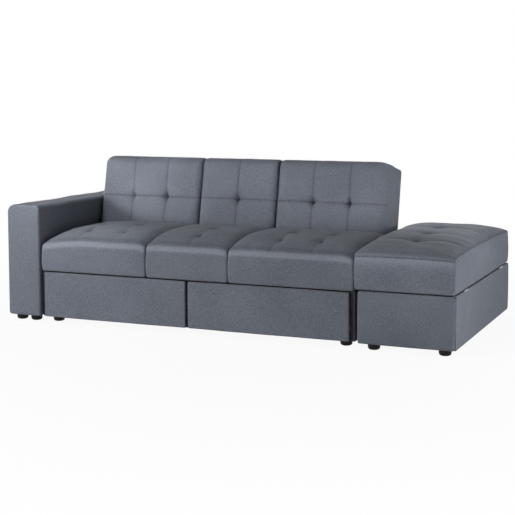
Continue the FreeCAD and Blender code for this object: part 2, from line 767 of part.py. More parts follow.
def hinge_bolts(frame_x0, frame_x1, frame_z0):
    """The bolts of the moving plates, two in each end rail of the back's frame, lying flat."""
    bolts = []
    z = frame_z0 + back_rail * hinge_bolt_height_share
    for face, out in ((frame_x0, -1), (frame_x1, 1)):
        plate_x = face + out * hinge_plate
        head_x = between(plate_x, plate_x + out * (hinge_spacer - flat_contact))
        for share in hinge_bolt_shares:
            y = pivot_y + hinge_pocket_reach * share
            shank = cylinder_x(*between(face - out * back_rail / 2, plate_x), y, z, bolt_radius)
            bolts.append(shank.fuse(cylinder_x(*head_x, y, z, bolt_head_radius)))
    return bolts


def hinge_screws():
    """The screws of the fixed plates' feet, two in each side of the carcass."""
    screws = []
    top = seat_deck_top + hinge_plate
    for x in (carcass_x0 + side_board / 2, carcass_x1 - side_board / 2):
        for share in hinge_screw_shares:
            y = pivot_y + hinge_foot_length * share
            shank = cylinder_z(seat_deck_top - side_board, top, x, y, bolt_radius / 2)
            screws.append(shank.fuse(cylinder_z(top, top + bolt_head_height / 2, x, y, bolt_radius)))
    return screws


def hinge_pin(face, out, plate_x):
    """The shouldered pin: shaft in the moving plate, spacer between the plates, and its head."""
    clear = out * hinge_running_play
    spacer_x = face + out * hinge_plate
    head_start = plate_x + out * hinge_plate + clear
    shaft = cylinder_x(*between(face, head_start), pivot_y, pivot_z, hinge_pin_radius)
    head_x = between(head_start, head_start + out * hinge_head_width)
    head = cylinder_x(*head_x, pivot_y, pivot_z, hinge_head_radius)
    spacer_end = plate_x - clear
    spacer = cylinder_x(*between(spacer_x, spacer_end), pivot_y, pivot_z, hinge_head_radius)
    return shaft.multiFuse([head, spacer]).removeSplitter()


def hinge_pawl(spacer_x, fixed_x, out):
    """The pawl in the fixed plate's plane, just clear of the teeth, on a stud."""
    pawl_y0 = pivot_y + ratchet_tip_radius + pawl_play
    pawl_y1 = pawl_y0 + pawl_length
    half = pawl_width / 2
    nose = [(pawl_y0, pivot_z - half), (pawl_y1, pivot_z - half), (pawl_y1, pivot_z + half)]
    nose.append((pawl_y0 + half, pivot_z + half))
    stud_end = fixed_x[0] if out > 0 else fixed_x[1]
    stud = cylinder_x(*between(spacer_x, stud_end), pawl_y1 - half, pivot_z, pawl_pin_radius)
    return prism_x(*fixed_x, nose).fuse(stud)


def make_back_hinges(frame_x0, frame_x1, frame_z0, bolts):
    """Both hinges: fixed plate, moving plate, pin with head and spacer, pawl and screws."""
    screws = hinge_screws()
    pins, pawls = [], []
    sides = (("left", frame_x0, -1, carcass_x0), ("right", frame_x1, 1, carcass_x1))
    for name, face, out, foot_end in sides:
        spacer_x = face + out * hinge_plate
        plate_x = spacer_x + out * hinge_spacer
        fixed_x = between(plate_x, plate_x + out * hinge_plate)
        fixed = fixed_plate(*fixed_x, *between(plate_x, foot_end))
        export("hinge_fixed_plate_" + name, [fixed.cut(Part.makeCompound(screws))])
        moving = moving_plate(*between(face, spacer_x), frame_z0).cut(bolts)
        export("hinge_moving_plate_" + name, [raised(moving)])
        pins.append(hinge_pin(face, out, plate_x))
        pawls.append(hinge_pawl(spacer_x, fixed_x, out))
    export("hinge_pins", [raised(pin) for pin in pins])
    export("hinge_pawls", [raised(pawl) for pawl in pawls])
    export("hinge_screws", screws)


# Ottoman
def make_ottoman():
    """The storage box: four fabric-covered boards, floor, feet and lid bumpers."""
    x0, x1 = ottoman_x0, ottoman_x1
    y0, y1 = ottoman_end_inset, depth - ottoman_end_inset
    z0, z1 = ottoman_bottom, ottoman_box_top
    board = ottoman_board
    front = box(x0, x1, y0, y0 + board, z0, z1)
    front = rounded(front, ottoman_edge_radius,
                    lambda at, run: at.y < y0 + edge_reach and abs(run.z) > 0.5)
    rear = box(x0, x1, y1 - board, y1, z0, z1)
    rear = rounded(rear, ottoman_edge_radius,
                   lambda at, run: at.y > y1 - edge_reach and abs(run.z) > 0.5)
    export("ottoman_ends", [front, rear])
    export("ottoman_side_left", [box(x0, x0 + board, y0 + board, y1 - board, z0, z1)])
    right = box(x1 - board, x1, y0 + board, y1 - board, z0, z1)
    export("ottoman_side_right", [right.cut(lid_hinge_rooms())])
    floor = box(x0 + board, x1 - board, y0 + board, y1 - board, z0, z0 + floor_board)
    export("ottoman_floor", [floor])
    feet = []
    for x in (x0 + ottoman_foot_left_inset, x1 - ottoman_foot_right_inset):
        for y in (y0 + ottoman_foot_inset_y, y1 - ottoman_foot_inset_y):
            feet.append(foot(x, y, z0))
    export("ottoman_feet", feet)
    bumpers = []
    for y in (y0 + bumper_inset, y1 - bumper_inset):
        bumpers.append(cylinder_z(z1, z1 + lid_gap - flat_contact, x0 + board / 2, y, bumper_radius))
    export("ottoman_bumpers", bumpers)


def lid_hinge(y_middle, lower):
    """One leaf of a butt hinge with its knuckles; the lower leaf carries the pin."""
    axis_z = ottoman_box_top + lid_gap / 2
    y0 = y_middle - lid_hinge_length / 2
    pitch = lid_hinge_length / lid_hinge_knuckles
    leaf_z = (ottoman_box_top, axis_z) if lower else (axis_z, axis_z + lid_gap / 2)
    leaf_x1 = lid_pin_x
    leaf = box(ottoman_x1 - lid_hinge_leaf_width, leaf_x1, y0, y0 + lid_hinge_length, *leaf_z)
    bore = lid_hinge_pin_radius + lid_hinge_play
    knuckles = []
    gaps = []
    for i in range(lid_hinge_knuckles):
        start, end = y0 + i * pitch, y0 + (i + 1) * pitch
        mine = (i % 2 == 0) == lower
        if mine:
            knuckles.append(cylinder_y(start + (lid_hinge_end_play if i > 0 else 0),
                                       end - (lid_hinge_end_play if i < lid_hinge_knuckles - 1 else 0),
                                       lid_pin_x, axis_z, lid_hinge_knuckle_radius))
        else:
            room = lid_hinge_knuckle_radius + lid_hinge_end_play
            gaps.append(cylinder_y(start, end, lid_pin_x, axis_z, room))
    shape = leaf.multiFuse(knuckles)
    shape = shape.cut(Part.makeCompound(gaps))
    if lower:
        pin = cylinder_y(y0, y0 + lid_hinge_length, lid_pin_x, axis_z, lid_hinge_pin_radius)
        return shape.fuse(pin).removeSplitter()
    return shape.cut(cylinder_y(y0, y0 + lid_hinge_length, lid_pin_x, axis_z, bore))


def lid_hinge_rooms():
    """The rounded notches that the hinges' knuckles turn in."""
    rooms = []
    half = lid_hinge_length / 2 + lid_hinge_end_play
    for share in lid_hinge_shares:
        y = depth * share
        rooms.append(cylinder_y(y - half, y + half, lid_pin_x, ottoman_box_top + lid_gap / 2,
                                lid_hinge_knuckle_radius + lid_hinge_end_play))
    return Part.makeCompound(rooms)


def make_lid():
    """The lid: a board inside a tufted pad, on two butt hinges along its right edge."""
    y0, y1 = pad_bulge + flat_contact, depth - pad_bulge - flat_contact
    z0 = ottoman_box_top + lid_gap
    ys = [y0] + thirds(y0, y1, lid_rows) + [y1]
    drops = (lid_seam_drop, lid_channel_drop, lid_tuft_drop, lid_line_crown_drop,
             lid_end_crown_drop)
    cushion = block_pad(lid_x0, ottoman_x1, lid_columns, ys, z0, lid_crown_height, drops,
                        lid_dome_drop, [y0, y1], lid_dome_reach)
    board_x = (lid_x0 + lid_cover, ottoman_x1 - lid_cover)
    board_y = (y0 + lid_cover, y1 - lid_cover)
    board_z = (z0, z0 + lid_board_thickness)
    board = box(*board_x, *board_y, *board_z)
    cushion = cushion.cut(box(*board_x, *board_y, z0 - overrun, board_z[1]))
    lowers = [lid_hinge(depth * share, True) for share in lid_hinge_shares]
    uppers = [lid_hinge(depth * share, False) for share in lid_hinge_shares]
    export("lid_cushion", [cushion.cut(lid_hinge_rooms())])
    export("lid_board", [board])
    export("lid_hinges_upper", uppers)
    export("lid_hinges_lower", lowers)


make_arm()
make_feet()
make_base()
make_drawer("drawer_left", drawer_left_x0, drawer_left_x1, bay_x0, divider_x0)
make_drawer("drawer_right", drawer_right_x0, drawer_right_x1, divider_x1, bay_x1)
make_seat()
make_back()
make_ottoman()
make_lid()
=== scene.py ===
"""Looks of a sofa bed with two drawers and a storage ottoman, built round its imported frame.

Lengths are in metres in the frame's own axes: +X runs from the arm to the ottoman, +Y from the
front to the rear and +Z up. The back's pieces are worked out lying flat, as its bed position has
them, and are then turned up about the hinge to where the back stands.
"""

from __future__ import annotations

import json
import logging
import math
from dataclasses import dataclass, field
from enum import Enum
from typing import Sequence

import bmesh
import bpy
import numpy as np
from mathutils import Matrix, Vector
from mathutils.bvhtree import BVHTree


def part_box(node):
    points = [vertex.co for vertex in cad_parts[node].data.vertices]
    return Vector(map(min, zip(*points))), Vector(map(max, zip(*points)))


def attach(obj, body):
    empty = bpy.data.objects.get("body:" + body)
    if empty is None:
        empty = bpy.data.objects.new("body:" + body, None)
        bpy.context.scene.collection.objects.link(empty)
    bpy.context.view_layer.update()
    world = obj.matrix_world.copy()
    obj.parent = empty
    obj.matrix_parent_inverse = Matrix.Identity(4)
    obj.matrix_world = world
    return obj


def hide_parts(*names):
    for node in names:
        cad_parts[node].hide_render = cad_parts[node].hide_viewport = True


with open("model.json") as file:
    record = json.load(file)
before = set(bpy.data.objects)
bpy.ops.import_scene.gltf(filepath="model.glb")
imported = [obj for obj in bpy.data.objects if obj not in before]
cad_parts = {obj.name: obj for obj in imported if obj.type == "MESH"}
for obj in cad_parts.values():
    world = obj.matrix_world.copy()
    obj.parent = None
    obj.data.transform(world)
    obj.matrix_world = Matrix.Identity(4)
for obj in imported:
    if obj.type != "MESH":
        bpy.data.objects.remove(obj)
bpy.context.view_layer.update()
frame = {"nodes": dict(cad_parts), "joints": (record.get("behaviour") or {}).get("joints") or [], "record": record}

CLOTH_MAP = "cloth"
SLACK = "slack"
SEAM_AND_PAINTED_LIGHT = "seam"
MERGE_DISTANCE = 2e-5
FACING = 0.7
TUFT_COLUMNS = {"left": 2, "middle": 1, "right": 2}
SEAM_ROOM = 0.003
log = logging.getLogger("sofa_bed")


def node_box(node: str) -> tuple[np.ndarray, np.ndarray]:
    """Lowest and highest corner of a CAD node at rest, as arrays."""
    low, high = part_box(node)
    return np.array(low), np.array(high)


def vertex_array(mesh: bpy.types.Mesh) -> np.ndarray:
    """The mesh's vertices as an array of points."""
    flat = np.empty(len(mesh.vertices) * 3, np.float32)
    mesh.vertices.foreach_get("co", flat)
    return flat.reshape(-1, 3).astype(float)


def node_points(node: str) -> np.ndarray:
    """Every vertex of a CAD node at rest."""
    return vertex_array(frame["nodes"][node].data)


def moved(points: np.ndarray, matrix: Matrix) -> np.ndarray:
    """Points carried by a matrix."""
    carry = np.array(matrix)
    return points @ carry[:3, :3].T + carry[:3, 3]


def placed(name: str, data: bpy.types.ID) -> bpy.types.Object:
    """Puts a new object with the given data in the scene."""
    item = bpy.data.objects.new(name, data)
    bpy.context.scene.collection.objects.link(item)
    return item


def unit(values: np.ndarray) -> np.ndarray:
    """Values held between 0 and 1."""
    return np.clip(values, 0, 1)


def bell(away: np.ndarray, width: float) -> np.ndarray:
    """1 at nought, falling off as the exponential of minus the square of away over width."""
    return np.exp(-((away / width) ** 2))


def quarter(share: np.ndarray) -> np.ndarray:
    """Fall of a quarter circle, from 0 at nought to 1 at one."""
    return 1 - np.sqrt(unit(1 - share**2))


def blunted(square: np.ndarray, tip: float) -> np.ndarray:
    """The root of a squared distance, its point at nought rounded off over the tip's width."""
    return np.sqrt(square + tip**2) - tip


def run_along(line: np.ndarray) -> np.ndarray:
    """Distance from a line's start to each of its points."""
    return np.concatenate([[0], np.cumsum(np.linalg.norm(np.diff(line, axis=0), axis=1))])


def even_lines(low: float, high: float, count: int) -> tuple[float, ...]:
    """Places of lines that part a length evenly."""
    return tuple(np.linspace(low, high, count + 2)[1:-1])


def share_lines(low: float, high: float, shares: Sequence[float]) -> tuple[float, ...]:
    """Places of lines at shares of a length."""
    return tuple(low + share * (high - low) for share in shares)


class BackHinge:
    """The back's hinge line, and the turn between its lying and its standing place."""

    def __init__(self) -> None:
        """Reads the hinge's place and range from the frame's joints."""
        joint = next(j for j in frame["joints"] if j["name"] == "back_recline")
        self.pivot = Vector(joint["pos_m"])
        self.angle = math.radians(joint["range_deg"][1])

    def standing(self) -> Matrix:
        """The turn that stands a lying piece up."""
        turn = Matrix.Rotation(self.angle, 4, "X")
        return Matrix.Translation(self.pivot) @ turn @ Matrix.Translation(-self.pivot)

    def lying_box(self, node: str) -> tuple[np.ndarray, np.ndarray]:
        """Corners of a node of the back after it is turned down flat.

        Args:
            node: Name of the node.

        Returns:
            The lowest and the highest corner.
        """
        points = moved(node_points(node), self.standing().inverted())
        return points.min(0), points.max(0)


def spaced(first: float, last: float, lines: Sequence[float], step: float, near: float) -> np.ndarray:
    """Grid places between two ends, even between the sewn lines, with a close one at each side of
    every line and end.

    Args:
        first: Where the grid starts.
        last: Where it ends.
        lines: Places of the sewn lines, in rising order.
        step: Largest gap between even places.
        near: Gap beside a line.

    Returns:
        The rising places.
    """
    stops = [first, *lines, last]
    places = [np.array([first])]
    for low, high in zip(stops[:-1], stops[1:]):
        count = max(2, math.ceil((high - low - 2 * near) / step) + 1)
        places.append(np.linspace(low + near, high - near, count))
        places.append(np.array([high]))
    return np.concatenate(places)


def ripple(points: np.ndarray, size: float, seed: int) -> np.ndarray:
    """Smooth unevenness of cloth: a sum of sine waves in fixed random directions, over the root
    of their count.

    Args:
        points: Points, with the three coordinates last.
        size: Mean wavelength in metres.
        seed: Which set of waves.

    Returns:
        One value per point, mostly between -1 and 1.
    """
    count = 9
    random = np.random.default_rng(seed)
    waves = random.normal(size=(count, 3)) * (math.tau / size / math.sqrt(3))
    phases = random.uniform(0, math.tau, count)
    return np.sin(points @ waves.T + phases).sum(-1) / math.sqrt(count)


@dataclass
class Patch:
    """A grid of points on a cover.

    Attributes:
        points: Places, rows by columns by 3.
        cloth: Cloth coordinates in metres, rows by columns by 2.
        slack: How far each point may settle, rows by columns.
        seam: How dark each point is: 1 in a plain seam, higher with painted shade, below nought where a highlight
            is painted.
    """

    points: np.ndarray
    cloth: np.ndarray
    slack: np.ndarray | None = None
    seam: np.ndarray | None = None

    def faces(self, start: int) -> np.ndarray:
        """Quads between neighbouring rows and columns, counted from the given vertex."""
        rows, columns = self.points.shape[:2]
        index = np.arange(rows * columns).reshape(rows, columns) + start
        corners = (index[:-1, :-1], index[:-1, 1:], index[1:, 1:], index[1:, :-1])
        return np.stack(corners, -1).reshape(-1, 4)

    def channel(self, values: np.ndarray | None) -> np.ndarray:
        """One value per point, nought where there are none."""
        if values is None:
            return np.zeros(self.points.shape[:2]).ravel()
        return np.broadcast_to(values, self.points.shape[:2]).ravel()


def sew(name: str, patches: Sequence[Patch], outwards: bool = True) -> bpy.types.Object:
    """Joins patches into one mesh object, welded along their shared edges.

    Args:
        name: Name of the piece.
        patches: The patches.
        outwards: Whether the shell is closed, so that its faces can be turned outwards.

    Returns:
        The new object, at the origin.
    """
    points = np.concatenate([p.points.reshape(-1, 3) for p in patches])
    cloth = np.concatenate([p.cloth.reshape(-1, 2) for p in patches])
    starts = np.cumsum([0] + [p.points.shape[0] * p.points.shape[1] for p in patches[:-1]])
    faces = np.concatenate([p.faces(int(s)) for p, s in zip(patches, starts)])
    mesh = bpy.data.meshes.new(name)
    mesh.from_pydata(points.tolist(), [], faces.tolist())
    corner = np.empty(len(mesh.loops), np.int32)
    mesh.loops.foreach_get("vertex_index", corner)
    layer = mesh.uv_layers.new(name=CLOTH_MAP)
    layer.data.foreach_set("uv", cloth[corner].astype(np.float32).ravel())
    for label in (SLACK, SEAM_AND_PAINTED_LIGHT):
        values = np.concatenate([p.channel(getattr(p, label)) for p in patches])
        attribute = mesh.attributes.new(label, "FLOAT", "POINT")
        attribute.data.foreach_set("value", values.astype(np.float32))
    work = bmesh.new()
    work.from_mesh(mesh)
    bmesh.ops.remove_doubles(work, verts=work.verts, dist=MERGE_DISTANCE)
    bmesh.ops.dissolve_degenerate(work, edges=work.edges, dist=MERGE_DISTANCE)
    if outwards:
        bmesh.ops.recalc_face_normals(work, faces=work.faces)
    work.to_mesh(mesh)
    work.free()
    mesh.shade_smooth()
    return placed(name, mesh)


def attribute_array(mesh: bpy.types.Mesh, label: str) -> np.ndarray:
    """One value per vertex of a float attribute."""
    values = np.empty(len(mesh.vertices), np.float32)
    mesh.attributes[label].data.foreach_get("value", values)
    return values.astype(float)


def place_vertices(mesh: bpy.types.Mesh, points: np.ndarray) -> None:
    """Moves the mesh's vertices to the given points."""
    mesh.vertices.foreach_set("co", points.astype(np.float32).ravel())
    mesh.update()


def bake_modifiers(piece: bpy.types.Object) -> None:
    """Applies the piece's modifiers to its own mesh."""
    graph = bpy.context.evaluated_depsgraph_get()
    mesh = bpy.data.meshes.new_from_object(piece.evaluated_get(graph), depsgraph=graph)
    old = piece.data
    piece.modifiers.clear()
    piece.data = mesh
    bpy.data.meshes.remove(old)


def refine(piece: bpy.types.Object) -> None:
    """Smooths a piece by one level of subdivision, the same in view and render."""
    modifier = piece.modifiers.new("Smooth", "SUBSURF")
    modifier.levels = 1
    modifier.render_levels = 1


class Value:
    """A shader socket that takes part in sums."""

    def __init__(self, nodes: NodeTree, socket: bpy.types.NodeSocket) -> None:
        """Wraps a socket of a node tree."""
        self.nodes = nodes
        self.socket = socket

    def _sum(self, operation: str, *parts: Value | float) -> Value:
        """Adds one Math node over the parts."""
        node = self.nodes.add("ShaderNodeMath", dict(enumerate(parts)), operation=operation)
        return Value(self.nodes, node.outputs[0])

    def __add__(self, other: Value | float) -> Value:
        """Self plus other, in either order."""
        return self._sum("ADD", self, other)

    def __sub__(self, other: Value | float) -> Value:
        """Self less other."""
        return self._sum("SUBTRACT", self, other)

    def __rsub__(self, other: float) -> Value:
        """Other less self."""
        return self._sum("SUBTRACT", other, self)

    def __mul__(self, other: Value | float) -> Value:
        """Self times other, in either order."""
        return self._sum("MULTIPLY", self, other)

    __radd__ = __add__
    __rmul__ = __mul__

    def __gt__(self, other: Value | float) -> Value:
        """1 where self is more than other, else 0."""
        return self._sum("GREATER_THAN", self, other)

    def sine(self) -> Value:
        """Sine of self."""
        return self._sum("SINE", self)

    def size(self) -> Value:
        """Self without its sign."""
        return self._sum("ABSOLUTE", self)

    def clamped(self) -> Value:
        """Self held between 0 and 1."""
        return self._sum("MAXIMUM", self._sum("MINIMUM", self, 1.0), 0.0)

    def between(self, low: Value | float, high: Value | float) -> Value:
        """low where self is 0 and high where it is 1."""
        return low + self * (high - low)


class NodeTree:
    """The node tree of a material or of the world."""

    def __init__(self, owner: bpy.types.Material | bpy.types.World) -> None:
        """Empties the owner's tree."""
        owner.use_nodes = True
        self.tree = owner.node_tree
        self.tree.nodes.clear()

    def add(self, kind: str, inputs: dict | None = None, **settings: object) -> bpy.types.Node:
        """Adds one node.

        Args:
            kind: Type of the node.
            inputs: Values or links of its sockets, by name or number.
            settings: Properties, set first.

        Returns:
            The node.
        """
        node = self.tree.nodes.new(kind)
        for key, value in settings.items():
            setattr(node, key, value)
        for key, value in (inputs or {}).items():
            self.feed(node, key, value)
        return node

    def feed(self, node: bpy.types.Node, key: str | int, value: object) -> None:
        """Sets or links one socket of a node."""
        if isinstance(value, Value):
            self.tree.links.new(value.socket, node.inputs[key])
        elif isinstance(value, bpy.types.NodeSocket):
            self.tree.links.new(value, node.inputs[key])
        else:
            node.inputs[key].default_value = value

    def value(self, node: bpy.types.Node, output: str | int = 0) -> Value:
        """One output of a node, ready for sums."""
        return Value(self, node.outputs[output])

    def seen(self) -> Value:
        """1 for what the camera or a reflection sees, else 0."""
        path = self.add("ShaderNodeLightPath")
        return (self.value(path, "Is Camera Ray") + self.value(path, "Is Glossy Ray")).clamped()

    def mixed(self, share: Value, *shades: bpy.types.Node) -> bpy.types.NodeSocket:
        """Mixes the first outputs of two shading nodes."""
        inputs = {0: share, 1: shades[0].outputs[0], 2: shades[1].outputs[0]}
        return self.add("ShaderNodeMixShader", inputs).outputs[0]


class Shader(NodeTree):
    """A material with a Principled surface, and a method for every kind of pattern."""

    def __init__(self, name: str) -> None:
        """Makes the material."""
        self.material = bpy.data.materials.new(name)
        super().__init__(self.material)
        self.surface = self.add("ShaderNodeBsdfPrincipled")
        self.output = self.add("ShaderNodeOutputMaterial", {0: self.surface.outputs[0]})

    def vector(self, x: Value | float, y: Value | float, z: Value | float) -> bpy.types.NodeSocket:
        """Joins three numbers into a vector."""
        return self.add("ShaderNodeCombineXYZ", {0: x, 1: y, 2: z}).outputs[0]

    def split(self, vector: bpy.types.NodeSocket) -> list[Value]:
        """The three numbers of a vector."""
        node = self.add("ShaderNodeSeparateXYZ", {0: vector})
        return [self.value(node, i) for i in range(3)]

    def noise(self, vector: bpy.types.NodeSocket, scale: float, detail: float) -> Value:
        """A noise texture over a vector, about a half on average."""
        inputs = {"Vector": vector, "Scale": scale, "Detail": detail}
        return self.value(self.add("ShaderNodeTexNoise", inputs))

    def paint(self, low: Sequence[float], high: Sequence[float], share: Value) -> None:
        """Gives the surface a mix of two colours. A Mix node's colour sockets are 6 and 7."""
        inputs = {0: share, 6: (*low, 1.0), 7: (*high, 1.0)}
        node = self.add("ShaderNodeMix", inputs, data_type="RGBA")
        self.feed(self.surface, "Base Color", node.outputs[2])

    def object_axes(self) -> tuple[bpy.types.NodeSocket, list[Value]]:
        """Object coordinates, whole and split into three numbers."""
        whole = self.add("ShaderNodeTexCoord").outputs["Object"]
        return whole, self.split(whole)

    def bump(self, height: Value, distance: float, strength: float) -> None:
        """Raises the surface by a height map."""
        inputs = {"Height": height, "Distance": distance, "Strength": strength}
        node = self.add("ShaderNodeBump", inputs)
        self.feed(self.surface, "Normal", node.outputs[0])

    def fixed(self, settings: dict[str, object]) -> None:
        """Sets plain values on the surface's own sockets, by their names."""
        for key, value in settings.items():
            self.surface.inputs[key].default_value = value


class Weave(Enum):
    """What the cloth's threads follow."""

    COVER = "the piece's own cloth map"
    BOARD = "the flat faces of a covered board"


@dataclass(frozen=True)
class WovenCloth:
    """Grey-blue woven polyester with a fleck in its yarns.

    Attributes:
        dark: Colour of the darker yarns.
        light: Colour of the lighter yarns.
        pitch: Width of one yarn.
        fleck: How strongly the yarns' flecks show.
        broad: How strongly the cloth varies over its width.
        weave_share: How strongly the single crossings show.
        slub: How strongly the thick and thin places of the yarns show.
        slub_scale: Thick and thin places per metre.
        roughness: Mean roughness.
        fleck_across: Flecks per metre across a yarn.
        fleck_along: Flecks per metre along a yarn.
        seam_and_painted_light_strength: How much the seam attribute darkens seams and painted shade, and lightens
            painted highlights.
        painted_highlight_ceiling: How far past the light tone the colour may go, for painted highlights.
        bump_height: Height of the weave.
        bump_strength: How strongly the weave shades.
        uneven: How much the roughness varies from yarn to yarn.
        broad_scale: Broad patches per metre.
    """

    dark: tuple[float, float, float] = (0.086, 0.098, 0.122)
    light: tuple[float, float, float] = (0.212, 0.232, 0.272)
    pitch: float = 0.0011
    fleck: float = 1.5
    broad: float = 0.55
    weave_share: float = 0.10
    slub: float = 1.5
    slub_scale: float = 290.0
    roughness: float = 0.86
    fleck_across: float = 520.0
    fleck_along: float = 90.0
    seam_and_painted_light_strength: float = 0.42
    painted_highlight_ceiling: float = 1.6
    bump_height: float = 0.00045
    bump_strength: float = 0.7
    uneven: float = 0.2
    broad_scale: float = 5.0

    def threads(self, shader: Shader, weave: Weave) -> tuple[Value, Value]:
        """The two coordinates that the yarns run along.

        Args:
            shader: The material.
            weave: What the yarns follow.

        Returns:
            Distance across the warp and across the weft, in metres.
        """
        if weave is Weave.COVER:
            cloth = shader.add("ShaderNodeUVMap", uv_map=CLOTH_MAP)
            across, along, _ = shader.split(cloth.outputs[0])
            return across, along
        _, (x, y, z) = shader.object_axes()
        aside, _, upwards = shader.split(shader.add("ShaderNodeNewGeometry").outputs["Normal"])
        return (aside.size() > FACING).between(x, y), (upwards.size() > FACING).between(z, y)

    def material(self, name: str, weave: Weave) -> bpy.types.Material:
        """The material: a plain weave over and under, flecks drawn out along each yarn, a broad uneven tone,
        darker seams, painted shade and painted highlights.

        Args:
            name: Name of the material.
            weave: What the yarns follow.

        Returns:
            The material.
        """
        shader = Shader(name)
        across, along = self.threads(shader, weave)
        turn = math.pi / self.pitch
        over = (across * turn).sine() * (along * turn).sine()
        warp = shader.vector(across * self.fleck_across, along * self.fleck_along, 0.0)
        weft = shader.vector(across * self.fleck_along, along * self.fleck_across, 7.0)
        flecks = (over > 0.0).between(shader.noise(warp, 1.0, 2.0), shader.noise(weft, 1.0, 2.0))
        whole, _ = shader.object_axes()
        tone = shader.noise(whole, self.broad_scale, 3.0) - 0.5
        slub = shader.noise(whole, self.slub_scale, 1.0) - 0.5
        light = 0.5 + (flecks - 0.5) * self.fleck + tone * self.broad + over * self.weave_share
        light = light + slub * self.slub
        if weave is Weave.COVER:
            # Darker seams, painted shade in tufts and behind front edges, and painted highlights on front edges.
            seam = shader.value(shader.add("ShaderNodeAttribute", attribute_name=SEAM_AND_PAINTED_LIGHT), 2)
            light = light - seam * self.seam_and_painted_light_strength
        # The top of the colour range lies past the light yarns, so painted highlights can be brighter than the
        # cloth.
        painted_highlight_ceiling = tuple(low + self.painted_highlight_ceiling * (high - low) for low, high in zip(self.dark, self.light))
        shader.paint(self.dark, painted_highlight_ceiling, (light * (1 / self.painted_highlight_ceiling)).clamped())
        shader.feed(shader.surface, "Roughness", self.roughness + (flecks - 0.5) * self.uneven)
        shader.fixed({"Sheen Weight": 0.12, "Sheen Roughness": 0.45, "Specular IOR Level": 0.2})
        shader.bump(over * 0.5 + flecks, self.bump_height, self.bump_strength)
        return shader.material


@dataclass(frozen=True)
class PlainFinish:
    """A moulded, painted or plated surface with a fine grain.

    Attributes:
        colour: Its colour.
        worn: Its colour where it is rubbed.
        metallic: 1 for bare metal.
        roughness: Mean roughness.
        grain: Fineness of the grain, in waves per metre.
        grain_height: Height of the grain.
        drawn: How much longer the grain is along X than across.
        gloss: How strongly it mirrors what stands round it.
        rub_start: Level of the slow noise where rubbing starts to show.
        rub_gain: How fast it grows above that.
    """

    colour: tuple[float, float, float]
    worn: tuple[float, float, float]
    roughness: float
    grain: float
    grain_height: float
    metallic: float = 0.0
    drawn: float = 1.0
    gloss: float = 0.5
    rub_start: float = 0.45
    rub_gain: float = 2.2

    def material(self, name: str) -> bpy.types.Material:
        """The material: colour and roughness follow a slow and a fine noise, the fine one raised."""
        shader = Shader(name)
        whole, (x, y, z) = shader.object_axes()
        fine = shader.noise(shader.vector(x * (1 / self.drawn), y, z), self.grain, 3.0)
        slow = shader.noise(whole, 11.0, 4.0)
        rubbed = (slow - self.rub_start) * self.rub_gain + (fine - 0.5) * 0.5
        shader.paint(self.colour, self.worn, rubbed.clamped())
        rough = self.roughness + (fine - 0.5) * 0.2 + (slow - 0.5) * 0.1
        shader.feed(shader.surface, "Roughness", rough)
        shader.fixed({"Metallic": self.metallic, "Specular IOR Level": self.gloss})
        shader.bump(fine, self.grain_height, 0.5)
        return shader.material


@dataclass(frozen=True)
class Timber:
    """Planed softwood or plywood with drawn-out grain.

    Attributes:
        early: Colour of the pale wood.
        late: Colour of the dark rings.
        rings: Rings per metre across the grain.
        roughness: Mean roughness.
        drawn: Length of the rings' bends across the grain, as a share of that along it.
        pores: Pores per metre.
        pore_drawn: The same share for the pores.
    """

    early: tuple[float, float, float]
    late: tuple[float, float, float]
    rings: float
    roughness: float
    drawn: float = 0.12
    pores: float = 900.0
    pore_drawn: float = 0.04

    def material(self, name: str) -> bpy.types.Material:
        """The material: rings are a sine over the height and depth, bent by a noise drawn out
        along X, with fine pores on top."""
        shader = Shader(name)
        _, (x, y, z) = shader.object_axes()
        bend = shader.noise(shader.vector(x * self.drawn, y, z), 9.0, 2.0)
        pores = shader.noise(shader.vector(x * self.pore_drawn, y, z), self.pores, 2.0)
        rings = ((y + z * 0.6 + bend * 0.12) * (self.rings * math.tau)).sine()
        share = (rings * 0.28 + 0.35 + (pores - 0.5) * 0.6).clamped()
        shader.paint(self.early, self.late, share)
        shader.feed(shader.surface, "Roughness", self.roughness + (pores - 0.5) * 0.25)
        shader.bump(pores + rings * 0.1, 0.0003, 0.5)
        return shader.material


